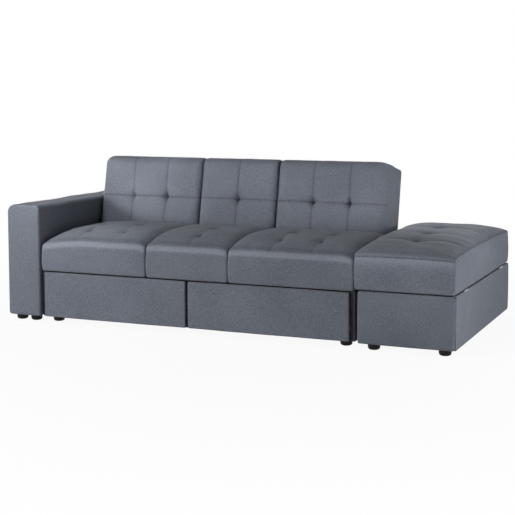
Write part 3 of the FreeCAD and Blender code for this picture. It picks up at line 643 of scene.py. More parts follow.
class Finishes:
    """Every finish of the sofa bed, made once."""

    # Parts seen only in gaps and underneath get a near black finish: painted shade.
    painted_shade_parts = (
        "base_front_rail", "base_divider", "base_floor", "seat_deck",
        "seat_frame_left", "seat_frame_middle", "seat_frame_right",
    )

    # The base's side boards, seen in a recess beside the drawers, get darker cloth: painted shade.
    painted_shade_boards = ("base_side_left", "base_side_right")

    def __init__(self) -> None:
        """Makes the materials."""
        self.cover = WovenCloth().material("woven_cover", Weave.COVER)
        self.board = WovenCloth().material("woven_board", Weave.BOARD)
        # A darker copy of the cover cloth: painted shade for the recessed side boards.
        painted_shade_cloth = WovenCloth(dark=(0.046, 0.052, 0.064), light=(0.115, 0.126, 0.148))
        self.painted_shade_cloth = painted_shade_cloth.material("woven_painted_shade", Weave.BOARD)
        self.thread = PlainFinish(
            colour=(0.2, 0.215, 0.25), worn=(0.3, 0.32, 0.36),
            roughness=0.7, grain=2500.0, grain_height=0.0002,
        ).material("sewing_thread")
        # Near black finish standing in for the shade of the gaps: painted shade.
        self.painted_shade_finish = PlainFinish(
            colour=(0.010, 0.010, 0.011), worn=(0.018, 0.018, 0.02),
            roughness=0.9, grain=1500.0, grain_height=0.0003,
        ).material("painted_shade_black")
        self.black = PlainFinish(
            colour=(0.006, 0.006, 0.007), worn=(0.014, 0.015, 0.017),
            roughness=0.5, grain=1400.0, grain_height=0.0001, gloss=0.15,
        ).material("moulded_black")
        nylon = PlainFinish(
            colour=(0.78, 0.78, 0.75), worn=(0.66, 0.65, 0.61),
            roughness=0.4, grain=1800.0, grain_height=0.00006,
        )
        powder = PlainFinish(
            colour=(0.8, 0.8, 0.79), worn=(0.7, 0.7, 0.68),
            roughness=0.42, grain=2200.0, grain_height=0.00012,
        )
        zinc = PlainFinish(
            colour=(0.34, 0.35, 0.37), worn=(0.22, 0.225, 0.23),
            roughness=0.34, grain=700.0, grain_height=0.00005, metallic=1.0, drawn=8.0,
        )
        fibre = PlainFinish(
            colour=(0.2, 0.115, 0.06), worn=(0.3, 0.19, 0.11),
            roughness=0.62, grain=1500.0, grain_height=0.0001,
        )
        timber = Timber(early=(0.66, 0.5, 0.32), late=(0.45, 0.29, 0.15), rings=90.0, roughness=0.62)
        self.by_slot = {
            "upholstery": self.board,
            "black_plastic": self.black,
            "nylon": nylon.material("white_nylon"),
            "runner_steel": powder.material("powder_coat"),
            "zinc_steel": zinc.material("zinc_plate"),
            "hardboard": fibre.material("hardboard_brown"),
            "wood": timber.material("planed_wood"),
        }

    def dress_nodes(self) -> None:
        """Gives every carried-over CAD node the finish of its own slot. The exceptions are the parts seen only in
        gaps, which are near black as painted shade, and the base's side boards, which get darker cloth as painted
        shade.
        """
        for part in frame["record"]["subparts"]:
            node = frame["nodes"][part["node"]]
            finish = self.by_slot[part["material_slot"]]
            # Gap parts get near black painted shade.
            if part["node"] in self.painted_shade_parts:
                finish = self.painted_shade_finish
            # Side boards get the darker cloth as painted shade.
            elif part["node"] in self.painted_shade_boards:
                finish = self.painted_shade_cloth
            node.data.materials.clear()
            node.data.materials.append(finish)


@dataclass
class Settling:
    """How the cloth of a stuffed piece is let settle over its filling.

    Attributes:
        pressure: Push of the filling from inside.
        swell: How much longer the cloth is cut than its first shape, as a share.
        frames: Steps of the simulation.
        stretch: Stiffness of the cloth against stretch.
        bend: Stiffness against folding.
        damping: How fast its movement dies away.
        mass: Mass of each of its points.
        quality: Sub-steps of each step.
    """

    pressure: float = 3.0
    swell: float = 0.022
    frames: int = 18
    stretch: float = 12.0
    bend: float = 0.25
    damping: float = 8.0
    mass: float = 0.25
    quality: int = 4

    def run(self, piece: bpy.types.Object) -> None:
        """Lets the cover settle as cloth, holds each point within its slack, and writes the
        result into the mesh. A point without slack stays where it is.

        Args:
            piece: The piece, with the slack attribute.
        """
        mesh = piece.data
        start = vertex_array(mesh)
        slack = attribute_array(mesh, SLACK)
        held = piece.vertex_groups.new(name="held")
        held.add(np.flatnonzero(slack <= 0).tolist(), 1.0, "REPLACE")
        cloth = piece.modifiers.new("Cloth", "CLOTH")
        settings = cloth.settings
        settings.quality = self.quality
        settings.mass = self.mass
        stiffness = {"tension": self.stretch, "compression": self.stretch, "shear": self.stretch / 3}
        for way, value in stiffness.items():
            setattr(settings, way + "_stiffness", value)
            setattr(settings, way + "_damping", self.damping)
        settings.bending_stiffness = self.bend
        settings.use_pressure = True
        settings.uniform_pressure_force = self.pressure
        settings.vertex_group_mass = "held"
        settings.shrink_min = -self.swell
        settings.effector_weights.gravity = 0
        cloth.collision_settings.use_collision = False
        cloth.point_cache.frame_start = 1
        cloth.point_cache.frame_end = self.frames
        scene = bpy.context.scene
        for step in range(1, self.frames + 1):
            scene.frame_set(step)
        graph = bpy.context.evaluated_depsgraph_get()
        settled = vertex_array(piece.evaluated_get(graph).data)
        piece.modifiers.clear()
        piece.vertex_groups.clear()
        scene.frame_set(1)
        move = settled - start
        length = np.linalg.norm(move, axis=1)
        limit = np.maximum(slack, 1e-6)
        move *= (1 / (1 + length / limit))[:, None]
        place_vertices(mesh, start + np.where(slack[:, None] > 0, move, 0))


@dataclass(frozen=True)
class Roll:
    """How a side of a cushion's top panel rolls over to its seam: a quarter ellipse, after a long
    slope that is a parabola.

    Attributes:
        drop: How far the ellipse goes down.
        width: How far in from the side the ellipse starts.
        fall: How far the slope goes down.
        slope: How far in from the side the slope starts.
    """

    drop: float
    width: float
    fall: float = 0.0
    slope: float = 1.0

    def at(self, inset: np.ndarray) -> np.ndarray:
        """Depth below the crown at a distance in from the side."""
        ellipse = self.drop * quarter(1 - unit(inset / self.width))
        return ellipse + self.fall * (1 - unit(inset / self.slope)) ** 2


@dataclass(frozen=True)
class Dome:
    """How a cushion's top falls away towards its front, and its rear if both: a parabola.

    Attributes:
        drop: Fall at the very edge.
        reach: How far in from the edge it starts.
        both: Whether it falls towards the rear as well.
        ease: How much of the side rolls goes where the dome is lowest.
    """

    drop: float = 0.0
    reach: float = 1.0
    both: bool = False
    ease: float = 0.0

    def share(self, front: np.ndarray, rear: np.ndarray) -> np.ndarray:
        """Share of the fall, from the distances to the front and to the rear."""
        near = np.minimum(front, rear) if self.both else front
        return unit(1 - near / self.reach) ** 2


@dataclass(frozen=True)
class Tufting:
    """The buttonless tufts of a cushion and the sewn lines through them.

    Attributes:
        columns: Places of the lines that run from front to rear.
        rows: Places of the lines that run along the sofa.
        depth: Depth of a tuft below its lines.
        reach: How far a tuft draws the cover in.
        column_valley: Depth of the valley along a column.
        row_valley: Depth of the valley along a row.
        valley: Half width of a valley.
        groove: Depth of the sewn groove itself.
        tone: How dark the sewn lines look.
        painted_pit_shade: Strength of the painted shade in the depth of the tufts.
        fold: How far a fold runs out from a tuft.
        draw: How much further a tuft draws along its column than along its row.
        tip: Half width that rounds the point of a tuft and of a valley.
        groove_width: Half width of the sewn groove.
        line_width: Half width of its shade.
        stiff_width: Half width of the stiff cloth beside a line.
        stiffness: How much less that cloth settles, as a share.
        folds: How much further a tuft draws along its four folds.
        odd_folds: The same for its seven folds at odd angles.
        fold_start: How far from a tuft the folds are whole.
    """

    columns: tuple[float, ...]
    rows: tuple[float, ...]
    depth: float
    reach: float
    column_valley: float
    row_valley: float
    valley: float
    groove: float
    tone: float
    painted_pit_shade: float = 0.4
    fold: float = 0.04
    draw: float = 0.0
    tip: float = 0.003
    groove_width: float = 0.0026
    line_width: float = 0.0022
    stiff_width: float = 0.007
    stiffness: float = 0.3
    folds: float = 0.34
    odd_folds: float = 0.2
    fold_start: float = 0.010

    def offsets(self, x: np.ndarray, y: np.ndarray) -> list[tuple[np.ndarray, float]]:
        """Distances from every sewn line, each with the depth of its valley."""
        columns = [(x - line, self.column_valley) for line in self.columns]
        return columns + [(y - line, self.row_valley) for line in self.rows]

    def star(self, x: np.ndarray, y: np.ndarray) -> np.ndarray:
        """Pull of the tufts, 1 at each crossing. It falls off exponentially, slower along the
        sewn lines and along a few folds at odd angles."""
        pull = np.zeros_like(x)
        for i, column in enumerate(self.columns):
            for j, row in enumerate(self.rows):
                across, along = x - column, y - row
                away = blunted(across**2 + along**2, self.tip)
                angle = np.arctan2(along, across)
                folds = self.folds * np.cos(4 * angle) - self.draw * np.cos(2 * angle)
                folds = folds + self.odd_folds * np.cos(7 * angle + 1.7 * i + 2.9 * j)
                folds = folds * unit(away / self.fold_start) * np.exp(-away / self.fold)
                pull = pull + np.exp(-away / (self.reach * (1 + folds)))
        return pull

    def depth_at(self, x: np.ndarray, y: np.ndarray) -> np.ndarray:
        """Depth of the cover below its crown: valleys fall off exponentially from each line, a
        narrow bell makes the groove on the line itself, and the tufts are deepest."""
        total = self.depth * self.star(x, y)
        for offset, depth in self.offsets(x, y):
            total = total + depth * np.exp(-blunted(offset**2, self.tip) / self.valley)
            total = total + self.groove * bell(offset, self.groove_width)
        return total

    def held_at(self, x: np.ndarray, y: np.ndarray) -> np.ndarray:
        """1 away from every line and tuft, 0 on them: how free the cloth is."""
        free = np.ones_like(x)
        for offset, _ in self.offsets(x, y):
            free = free * (1 - self.stiffness * bell(offset, self.stiff_width))
        return free * (1 - bell(1 - unit(self.star(x, y)), 0.3))

    def sewn_and_pit_shade_at(self, x: np.ndarray, y: np.ndarray) -> np.ndarray:
        """How dark the cover is: most on a sewn line, with painted shade in the depth of a tuft."""
        sewn = np.zeros_like(x)
        for offset, _ in self.offsets(x, y):
            sewn = np.maximum(sewn, bell(offset, self.line_width))
        # Darker sewn lines, and painted shade in the depth of each tuft.
        return np.maximum(sewn * self.tone, self.painted_pit_shade * self.star(x, y) ** 2)


@dataclass(frozen=True)
class Corners:
    """Radii of a cushion's four upright corners in plan."""

    front_left: float = 0.010
    front_right: float = 0.010
    rear_left: float = 0.010
    rear_right: float = 0.010

    def at(self, left: np.ndarray, front: np.ndarray) -> np.ndarray:
        """The radius that holds in the quarter of each point."""
        ahead = np.where(left, self.front_left, self.front_right)
        behind = np.where(left, self.rear_left, self.rear_right)
        return np.where(front, ahead, behind)


@dataclass
class Cushion:
    """A tufted cushion: a quilted top panel, an upright wall sewn to it and a flat underside.

    Attributes:
        name: Name of the piece.
        low: Lowest corner of its box, lying.
        high: Highest corner of its box, lying; its height is the crown's.
        left, right, front, rear: Rolls of the four sides.
        tufting: Its tufts and lines.
        dome: How its top falls away at the ends.
        corners: Radii of its corners in plan.
        bulge: How far its walls stand out.
        under: Radius of the lower edge.
        step: Spacing of the cover's points.
        near: Spacing beside a sewn line.
        seam_depth: How far the cover is pinched under the seam.
        seam_tone: How dark the seam looks.
        seam_width: Half width of that shade.
        corner_tone: How dark the upright corner seams look.
        painted_edge_highlight: Strength of the painted highlight over the front edge.
        edge_reach: How far that light runs down the front wall.
        painted_edge_shade: Strength of the painted shade on the top just behind the front edge.
        top_slack: How far the top may settle.
        wall_slack: How far the wall may settle.
        top_wave: Height of the top's unevenness.
        wall_wave: Height of the wall's.
        border: Width over which the top's quilting fades in from its edge.
        edge_quilting: Share of the quilting's depth at the very edge.
        glow_width: Half width of the light on top of the front edge.
        shade_place: How far behind the front edge the shade is darkest.
        shade_width: Half width of that shade.
        corner_width: Half width of the shade of the upright corner seams.
        front_depth: How far round the corners the front wall's light reaches.
        pinch: Half width of the pinch under the seam.
        stitch_drop: How far under the seam the top stitching runs.
        seed: Which unevenness it has.
    """

    name: str
    low: np.ndarray
    high: np.ndarray
    left: Roll
    right: Roll
    front: Roll
    rear: Roll
    tufting: Tufting
    dome: Dome = Dome()
    corners: Corners = Corners()
    bulge: float = 0.003
    under: float = 0.007
    step: float = 0.0105
    near: float = 0.0032
    seam_depth: float = 0.0012
    seam_tone: float = 0.35
    seam_width: float = 0.0025
    corner_tone: float = 0.0
    painted_edge_highlight: float = 0.0
    edge_reach: float = 0.010
    painted_edge_shade: float = 0.0
    top_slack: float = 0.005
    wall_slack: float = 0.0022
    top_wave: float = 0.0012
    wall_wave: float = 0.0007
    border: float = 0.05
    edge_quilting: float = 0.35
    glow_width: float = 0.0075
    shade_place: float = 0.030
    shade_width: float = 0.014
    corner_width: float = 0.004
    front_depth: float = 0.008
    pinch: float = 0.003
    stitch_drop: float = 0.006
    seed: int = 1

    def plan(self) -> tuple[np.ndarray, np.ndarray, np.ndarray, np.ndarray]:
        """Grid of the top panel in plan, square and with rounded corners.

        Near a corner the square is mapped to a quarter disc: each offset is shortened by the
        root of one less half the other's square.

        Returns:
            Square x and y, and rounded x and y.
        """
        xs = spaced(self.low[0], self.high[0], self.tufting.columns, self.step, self.near)
        ys = spaced(self.low[1], self.high[1], self.tufting.rows, self.step, self.near)
        x, y = np.meshgrid(xs, ys)
        middle = (self.low + self.high) / 2
        half = (self.high - self.low) / 2
        radius = self.corners.at(x < middle[0], y < middle[1])
        over_x = unit((np.abs(x - middle[0]) - half[0] + radius) / radius)
        over_y = unit((np.abs(y - middle[1]) - half[1] + radius) / radius)
        pull_x = radius * over_x * (1 - np.sqrt(1 - over_y**2 / 2))
        pull_y = radius * over_y * (1 - np.sqrt(1 - over_x**2 / 2))
        return x, y, x - np.sign(x - middle[0]) * pull_x, y - np.sign(y - middle[1]) * pull_y

    def top(self) -> Patch:
        """The quilted top: the crown less the dome, the four rolls, the tufting and a slight ripple. Its tone is
        darker on the sewn lines and the seam. It has painted shade in the tufts, a painted highlight on the front
        edge, and painted shade just behind that edge."""
        x, y, round_x, round_y = self.plan()
        front, rear = y - self.low[1], self.high[1] - y
        share = self.dome.share(front, rear)
        sides = self.left.at(x - self.low[0]) + self.right.at(self.high[0] - x)
        sides = sides * (1 - self.dome.ease * share) + self.dome.drop * share
        sides = sides + self.front.at(front) + self.rear.at(rear)
        edge = np.minimum(np.minimum(x - self.low[0], self.high[0] - x), np.minimum(front, rear))
        fade = unit(edge / self.border) ** 0.5
        quilting = self.edge_quilting + (1 - self.edge_quilting) * fade
        sewn = self.tufting.depth_at(x, y) * quilting
        height = np.maximum(self.high[2] - sides - sewn, self.low[2] + 2.5 * self.under)
        points = np.stack([round_x, round_y, height], -1)
        points[..., 2] += self.top_wave * ripple(points, 0.11, self.seed) * fade
        free = self.tufting.held_at(x, y) * unit(edge / 0.04)
        seam = bell(edge, self.seam_width) * self.seam_tone
        seam = np.maximum(self.tufting.sewn_and_pit_shade_at(x, y), seam)
        # Painted highlight along the top of the front edge.
        seam = seam - self.painted_edge_highlight * bell(front, self.glow_width)
        # Painted shade on the top just behind the front edge.
        seam = seam + self.painted_edge_shade * bell(front - self.shade_place, self.shade_width)
        return Patch(points, np.stack([x, y], -1), self.top_slack * free, seam)

    def rim(self, top: Patch) -> np.ndarray:
        """The top panel's edge as one closed loop of points, first point repeated last."""
        p = top.points
        loop = (p[0, :-1], p[:-1, -1], p[-1, :0:-1], p[:0:-1, 0], p[:1, 0])
        return np.concatenate(loop)

    def spread(self, loop: np.ndarray, out: np.ndarray) -> np.ndarray:
        """Moves a loop outwards in plan by stretching it about the cushion's middle."""
        middle = ((self.low + self.high) / 2)[:2]
        half = ((self.high - self.low) / 2)[:2]
        return middle + (loop - middle) * (1 + out[..., None] / half)

    def wall(self, top: Patch) -> Patch:
        """The wall: each column runs straight down from the rim, pinched under the seam, bulging as a parabola and
        rounded in at the bottom as a quarter circle. It is dark at the seam and at the upright corners, and has a
        painted highlight under the front edge."""
        rim = self.rim(top)
        count = max(6, math.ceil((rim[:, 2].max() - self.low[2]) / self.step))
        near = np.array([0.0, 0.012, 0.03, 0.06])
        share = np.concatenate([near, np.linspace(0.1, 0.9, count), [0.94, 0.97, 0.99, 1.0]])[:, None]
        depth = (rim[:, 2] - self.low[2])[None, :]
        down = share * depth
        rise = depth - down
        out = self.bulge * 4 * share * (1 - share) - self.seam_depth * bell(down, self.pinch)
        out = out - self.under * quarter(unit(1 - rise / self.under))
        points = np.empty((*down.shape, 3))
        points[..., :2] = self.spread(rim[None, :, :2], out)
        points[..., 2] = rim[None, :, 2] - down
        points[0] = rim
        run = run_along(rim[:, :2])
        cloth = np.stack(np.broadcast_arrays(run[None, :], points[..., 2]), -1)
        wave = self.wall_wave * ripple(points, 0.13, self.seed + 20) * np.sin(math.pi * share) ** 0.5
        points[..., :2] = self.spread(points[..., :2], wave)
        free = unit(np.minimum(down, rise) / 0.03)
        seam = bell(down, self.seam_width) * self.seam_tone
        for corner in ((0, 0), (0, 1), (1, 0), (1, 1)):
            place = np.where(corner, self.high[:2], self.low[:2])
            nearest = rim[np.argmin(np.linalg.norm(rim[:, :2] - place, axis=1)), :2]
            away = np.linalg.norm(rim[:, :2] - nearest, axis=1)
            seam = np.maximum(seam, self.corner_tone * bell(away, self.corner_width))
        # Painted highlight down the front wall, under the front edge.
        ahead = unit(1 - (rim[:, 1] - self.low[1]) / self.front_depth)
        seam = seam - self.painted_edge_highlight * ahead * bell(down, self.edge_reach)
        return Patch(points, cloth, self.wall_slack * free, seam)

    def bottom(self, top: Patch) -> Patch:
        """The flat underside, inside the wall's lower edge."""
        _, _, x, y = self.plan()
        points = np.empty(top.points.shape)
        inset = np.full(x.shape, -self.under)
        points[..., :2] = self.spread(np.stack([x, y], -1), inset)
        points[..., 2] = self.low[2]
        return Patch(points, points[..., :2].copy(), np.zeros(x.shape))

    def build(self) -> tuple[bpy.types.Object, np.ndarray]:
        """Sews the cushion and lets its cover settle.

        Returns:
            The piece, still lying, and the line under its seam where the top stitching runs.
        """
        top = self.top()
        piece = sew(self.name, [top, self.wall(top), self.bottom(top)])
        Settling().run(piece)
        line = self.rim(top)
        line[:, 2] -= self.stitch_drop
        return piece, line


@dataclass
class Stitching:
    """A row of thread stitches laid on a finished piece.

    Attributes:
        length: Length of one stitch.
        gap: Gap to the next.
        radius: Half thickness of the thread.
        lift: How far its middle lies above the cloth, as a share of the radius.
        probe: How far ahead and behind of a stitch its direction is taken.
    """

    length: float = 0.0055
    gap: float = 0.0030
    radius: float = 0.00065
    lift: float = 0.35
    probe: float = 0.002

    def one(self) -> tuple[np.ndarray, np.ndarray]:
        """One stitch along X: rings of six points on a spindle that is widest at its middle."""
        turn = np.arange(6) * math.tau / 6
        along = np.array([-0.5, -0.36, 0.0, 0.36, 0.5])
        width = np.array([0.25, 0.8, 1.0, 0.8, 0.25]) * self.radius
        x = np.repeat(along * self.length, 6)
        y = (width[:, None] * np.cos(turn)).ravel()
        z = (width[:, None] * np.sin(turn)).ravel()
        ring = np.arange(6)
        after = (ring + 1) % 6
        sides = [np.stack([ring + 6 * i, after + 6 * i, after + 6 * i + 6, ring + 6 * i + 6], -1)
                 for i in range(4)]
        return np.stack([x, y, z], -1), np.concatenate(sides)

    def along(self, name: str, piece: bpy.types.Object, line: np.ndarray) -> bpy.types.Object:
        """Lays stitches along a line, each set on the piece's nearest surface.

        Args:
            name: Name of the new piece.
            piece: The piece that they are sewn to.
            line: Points near its surface.

        Returns:
            The stitches as one mesh object.
        """
        tree = BVHTree.FromObject(piece, bpy.context.evaluated_depsgraph_get())
        run = run_along(line)
        count = int(run[-1] / (self.length + self.gap))
        at = (np.arange(count) + 0.5) * run[-1] / count
        point, ahead, behind = (
            np.stack([np.interp(where, run, line[:, i]) for i in range(3)], -1)
            for where in (at, at + self.probe, at - self.probe)
        )
        hits = [tree.find_nearest(Vector(p)) for p in point]
        place = np.array([hit[0] for hit in hits])
        normal = np.array([hit[1] for hit in hits])
        tangent = ahead - behind
        tangent -= (tangent * normal).sum(1, keepdims=True) * normal
        tangent /= np.maximum(np.linalg.norm(tangent, axis=1, keepdims=True), 1e-9)
        shape, quads = self.one()
        axes = np.stack([tangent, np.cross(normal, tangent), normal], 1)
        points = place[:, None, :] + np.einsum("vk,nkc->nvc", shape, axes)
        points += normal[:, None, :] * self.radius * self.lift
        starts = (np.arange(len(place)) * len(shape))[:, None, None]
        faces = (quads[None] + starts).reshape(-1, 4)
        mesh = bpy.data.meshes.new(name)
        mesh.from_pydata(points.reshape(-1, 3).tolist(), [], faces.tolist())
        mesh.shade_smooth()
        return placed(name, mesh)


@dataclass
class CoveredPanel:
    """A board under thin wadding and cloth: a box with rounded edges and slightly full faces.

    Attributes:
        low: Lowest corner.
        high: Highest corner.
        radius: Radius of its edges.
        puff: How far the faces stand out in their middle, inside the box.
        step: Spacing of its points.
        seed: Which unevenness it has.
    """

    low: np.ndarray
    high: np.ndarray
    radius: float = 0.006
    puff: float = 0.0012
    step: float = 0.022
    seed: int = 1

    def places(self, axis: int) -> np.ndarray:
        """Grid places along an axis, close together over the rounded edges."""
        half = (self.high[axis] - self.low[axis]) / 2
        turn = np.array([0.0, 0.15, 0.35, 0.6, 0.85]) * self.radius
        inner = half - self.radius
        count = max(3, math.ceil(2 * inner / self.step))
        return np.concatenate([-half + turn, np.linspace(-inner, inner, count), half - turn[::-1]])

    def face(self, axis: int, sign: int) -> Patch:
        """One face: points of the outer box are drawn in to the radius round the inner box, and
        the middle stands out as a product of parabolas."""
        first, second = [i for i in range(3) if i != axis]
        half = (self.high - self.low) / 2
        inner = half - self.radius - self.puff
        a, b = np.meshgrid(self.places(first), self.places(second))
        box = np.empty((*a.shape, 3))
        box[..., axis], box[..., first], box[..., second] = sign * half[axis], a, b
        core = np.clip(box, -half + self.radius, half - self.radius)
        out = box - core
        out /= np.linalg.norm(out, axis=-1, keepdims=True)
        core = np.clip(core, -inner, inner)
        points = core + out * self.radius
        full = (1 - (a / half[first]) ** 2) * (1 - (b / half[second]) ** 2)
        points = points + (self.low + self.high) / 2
        lift = self.puff * (full + 0.25 * ripple(points, 0.16, self.seed) * unit(full * 4))
        points[..., axis] += sign * lift
        return Patch(points, np.stack([a, b], -1))

    def patches(self) -> list[Patch]:
        """The six faces."""
        return [self.face(axis, sign) for axis in range(3) for sign in (-1, 1)]


@dataclass
class CoveredBlock:
    """A stuffed block with one outline all along it and rounded ends.

    Attributes:
        name: Name of the piece.
        outline: Closed outline, points by 2, first point repeated last, in the two other axes.
        axis: Axis that the block runs along.
        start: Where it starts.
        end: Where it ends.
        edge: Radius where the ends meet the sides.
        puff: How far the ends stand out in their middle.
        step: Spacing along it.
        wave: Height of the unevenness of its sides.
        fade: Length over which that fades in from the ends.
        seed: Which unevenness it has.
    """

    name: str
    outline: np.ndarray
    axis: int
    start: float
    end: float
    edge: float = 0.010
    puff: float = 0.003
    step: float = 0.014
    wave: float = 0.0012
    fade: float = 0.05
    seed: int = 1

    def normals(self) -> np.ndarray:
        """Outward directions along the outline, from the line between each point's neighbours."""
        loop = self.outline[:-1]
        run = np.roll(loop, -1, 0) - np.roll(loop, 1, 0)
        out = np.stack([run[:, 1], -run[:, 0]], -1)
        out /= np.linalg.norm(out, axis=1, keepdims=True)
        middle = loop.mean(0)
        if ((loop - middle) * out).sum() < 0:
            out = -out
        return np.concatenate([out, out[:1]])

    def ring(self, inset: float) -> np.ndarray:
        """The outline drawn in by a distance."""
        return self.outline - self.normals() * inset

    def stack(self, rings: Sequence[np.ndarray], along: np.ndarray) -> np.ndarray:
        """Rings at their places along the block, as points in space."""
        first, second = [i for i in range(3) if i != self.axis]
        points = np.empty((len(rings), len(self.outline), 3))
        flat = np.array(rings)
        points[..., first], points[..., second] = flat[..., 0], flat[..., 1]
        points[..., self.axis] = along
        return points

    def build(self) -> bpy.types.Object:
        """Sews the sides and the two ends. Each end turns in as a quarter circle and is closed by
        rings that shrink to its middle, standing out as a product of two parabolas."""
        turn = np.linspace(0, math.pi / 2, 6)
        inset = self.edge * (1 - np.sin(turn))
        reach = self.edge * (1 - np.cos(turn))
        count = max(3, math.ceil((self.end - self.start - 2 * self.edge) / self.step))
        middle = np.linspace(self.start + self.edge, self.end - self.edge, count)[1:-1]
        insets = np.concatenate([inset, np.zeros(len(middle)), inset[::-1]])
        along = np.concatenate([self.start + reach, middle, self.end - reach[::-1]])
        points = self.stack([self.ring(i) for i in insets], along[:, None])
        run = run_along(self.outline)
        cloth = np.stack(np.broadcast_arrays(run[None, :], along[:, None]), -1)
        within = unit((along - self.start) / self.fade) * unit((self.end - along) / self.fade)
        first, second = [i for i in range(3) if i != self.axis]
        lift = self.wave * (ripple(points, 0.15, self.seed) - 0.6) * within[:, None]
        lift[:, -1] = lift[:, 0]
        out = self.normals()
        points[..., first] += lift * out[:, 0]
        points[..., second] += lift * out[:, 1]
        patches = [Patch(points, cloth)]
        edge_ring = self.ring(self.edge)
        centre = edge_ring[:-1].mean(0)
        half = np.abs(edge_ring - centre).max(0)
        for place, sign in ((self.start, -1), (self.end, 1)):
            rings = np.array([centre + (edge_ring - centre) * share for share in np.linspace(1, 0, 14)])
            full = unit(1 - ((rings - centre) / half) ** 2).prod(-1)
            cap = self.stack(rings, place + sign * self.puff * full)
            patches.append(Patch(cap, rings))
        return sew(self.name, patches)


def arc(centre: Sequence[float], radius: float, first: float, last: float, count: int) -> np.ndarray:
    """Points on a circle's arc.

    Args:
        centre: Middle of the circle.
        radius: Its radius.
        first: First angle in degrees, from the first axis towards the second.
        last: Last angle in degrees.
        count: How many points.

    Returns:
        The points.
    """
    turn = np.radians(np.linspace(first, last, count))
    return np.array(centre) + radius * np.stack([np.cos(turn), np.sin(turn)], -1)


def filled(corners: Sequence[np.ndarray], step: float) -> np.ndarray:
    """Closes a line of points and fills its long runs.

    Args:
        corners: Arrays of points in order round the outline.
        step: Largest gap between points.

    Returns:
        The closed outline, first point repeated last.
    """
    line = np.concatenate([np.atleast_2d(c) for c in corners])
    line = np.concatenate([line, line[:1]])
    places = []
    for here, there in zip(line[:-1], line[1:]):
        count = max(1, math.ceil(np.linalg.norm(there - here) / step))
        share = np.arange(count)[:, None] / count
        places.append(here + (there - here) * share)
    return np.concatenate([*places, line[:1]])


@dataclass
class Foot:
    """A round moulded foot: a tapered disc with a well rounded lower edge and a thin collar.

    Attributes:
        sides: Points round it.
        collar: Height of the collar under the board.
        soft: Radius of the lower edge.
        taper: Radius at the floor before rounding, as a share of the radius at the top.
    """

    sides: int = 48
    collar: float = 0.004
    soft: float = 0.011
    taper: float = 0.93

    def patch(self, low: np.ndarray, high: np.ndarray) -> Patch:
        """One foot in its box: a profile of radii and heights carried round.

        Args:
            low: Lowest corner of the foot.
            high: Highest corner.

        Returns:
            Its surface, closed at both poles.
        """
        radius = (high[0] - low[0]) / 2
        height = high[2] - low[2]
        turn = np.linspace(0, math.pi / 2, 8)
        lower = radius * self.taper - self.soft * (1 - np.sin(turn))
        radii = np.concatenate([[0], lower, radius * np.array([0.97, 0.975, 1, 1, 0])])
        rises = self.soft * (1 - np.cos(turn))
        upper = height - self.collar * np.array([1.2, 1, 0.9, 0, 0])
        heights = np.concatenate([[0], rises, upper])
        angle = np.linspace(0, math.tau, self.sides + 1)
        middle = (low + high) / 2
        points = np.empty((len(radii), len(angle), 3))
        points[..., 0] = middle[0] + radii[:, None] * np.cos(angle)
        points[..., 1] = middle[1] + radii[:, None] * np.sin(angle)
        points[..., 2] = low[2] + heights[:, None]
        return Patch(points, points[..., :2].copy())


def islands(node: str) -> list[tuple[np.ndarray, np.ndarray]]:
    """Boxes of the separate solids of a node, the one with the lowest X and Y first. Every vertex
    takes the lowest label among its neighbours until nothing changes, vertices at one place
    counting as one.

    Args:
        node: Name of the node.

    Returns:
        The lowest and highest corner of each.
    """
    mesh = frame["nodes"][node].data
    points, place = np.unique(node_points(node).round(5), axis=0, return_inverse=True)
    edges = np.empty(len(mesh.edges) * 2, np.int32)
    mesh.edges.foreach_get("vertices", edges)
    first, second = place.ravel()[edges.reshape(-1, 2)].T
    labels = np.arange(len(points))
    while True:
        lowest = np.minimum(labels[first], labels[second])
        after = labels.copy()
        np.minimum.at(after, first, lowest)
        np.minimum.at(after, second, lowest)
        if (after == labels).all():
            break
        labels = after
    groups = [points[labels == label] for label in np.unique(labels)]
    return [(group.min(0), group.max(0)) for group in groups]


@dataclass
class Upholstery:
    """Covered pieces that ride on one body.

    Attributes:
        finishes: Every finish of the sofa bed.
        body: Body that the pieces ride on.
    """

    finishes: Finishes
    body: str

    def finish(self, piece: bpy.types.Object, node: str, fill: float) -> None:
        """Dresses a stuffed piece in the cover cloth and hangs it on its body.

        Args:
            piece: The piece.
            node: CAD node that it stands for.
            fill: How full it is; not used.
        """
        piece.data.materials.clear()
        piece.data.materials.append(self.finishes.cover)
        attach(piece, self.body)
        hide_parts(node)
        log.info("%s: %d points on %s", piece.name, len(piece.data.vertices), self.body)

    def sew_on(self, piece: bpy.types.Object, line: np.ndarray) -> None:
        """Adds top stitching to a cushion.

        Args:
            piece: The cushion, already in place.
            line: Line of the stitching, near the surface.
        """
        name = piece.name.replace("cushion_", "stitching_", 1)
        stitches = Stitching().along(name, piece, line)
        stitches.data.materials.append(self.finishes.thread)
        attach(stitches, self.body)
        log.info("%s: %d points on %s", name, len(stitches.data.vertices), self.body)

    def lay(self, cushion: Cushion, node: str, fill: float = 0.8) -> None:
        """Builds a cushion that is lying in its place, and stitches it.

        Args:
            cushion: The cushion.
            node: CAD node that it stands for.
            fill: How full it is.
        """
        piece, line = cushion.build()
        refine(piece)
        self.finish(piece, node, fill)
        self.sew_on(piece, line)


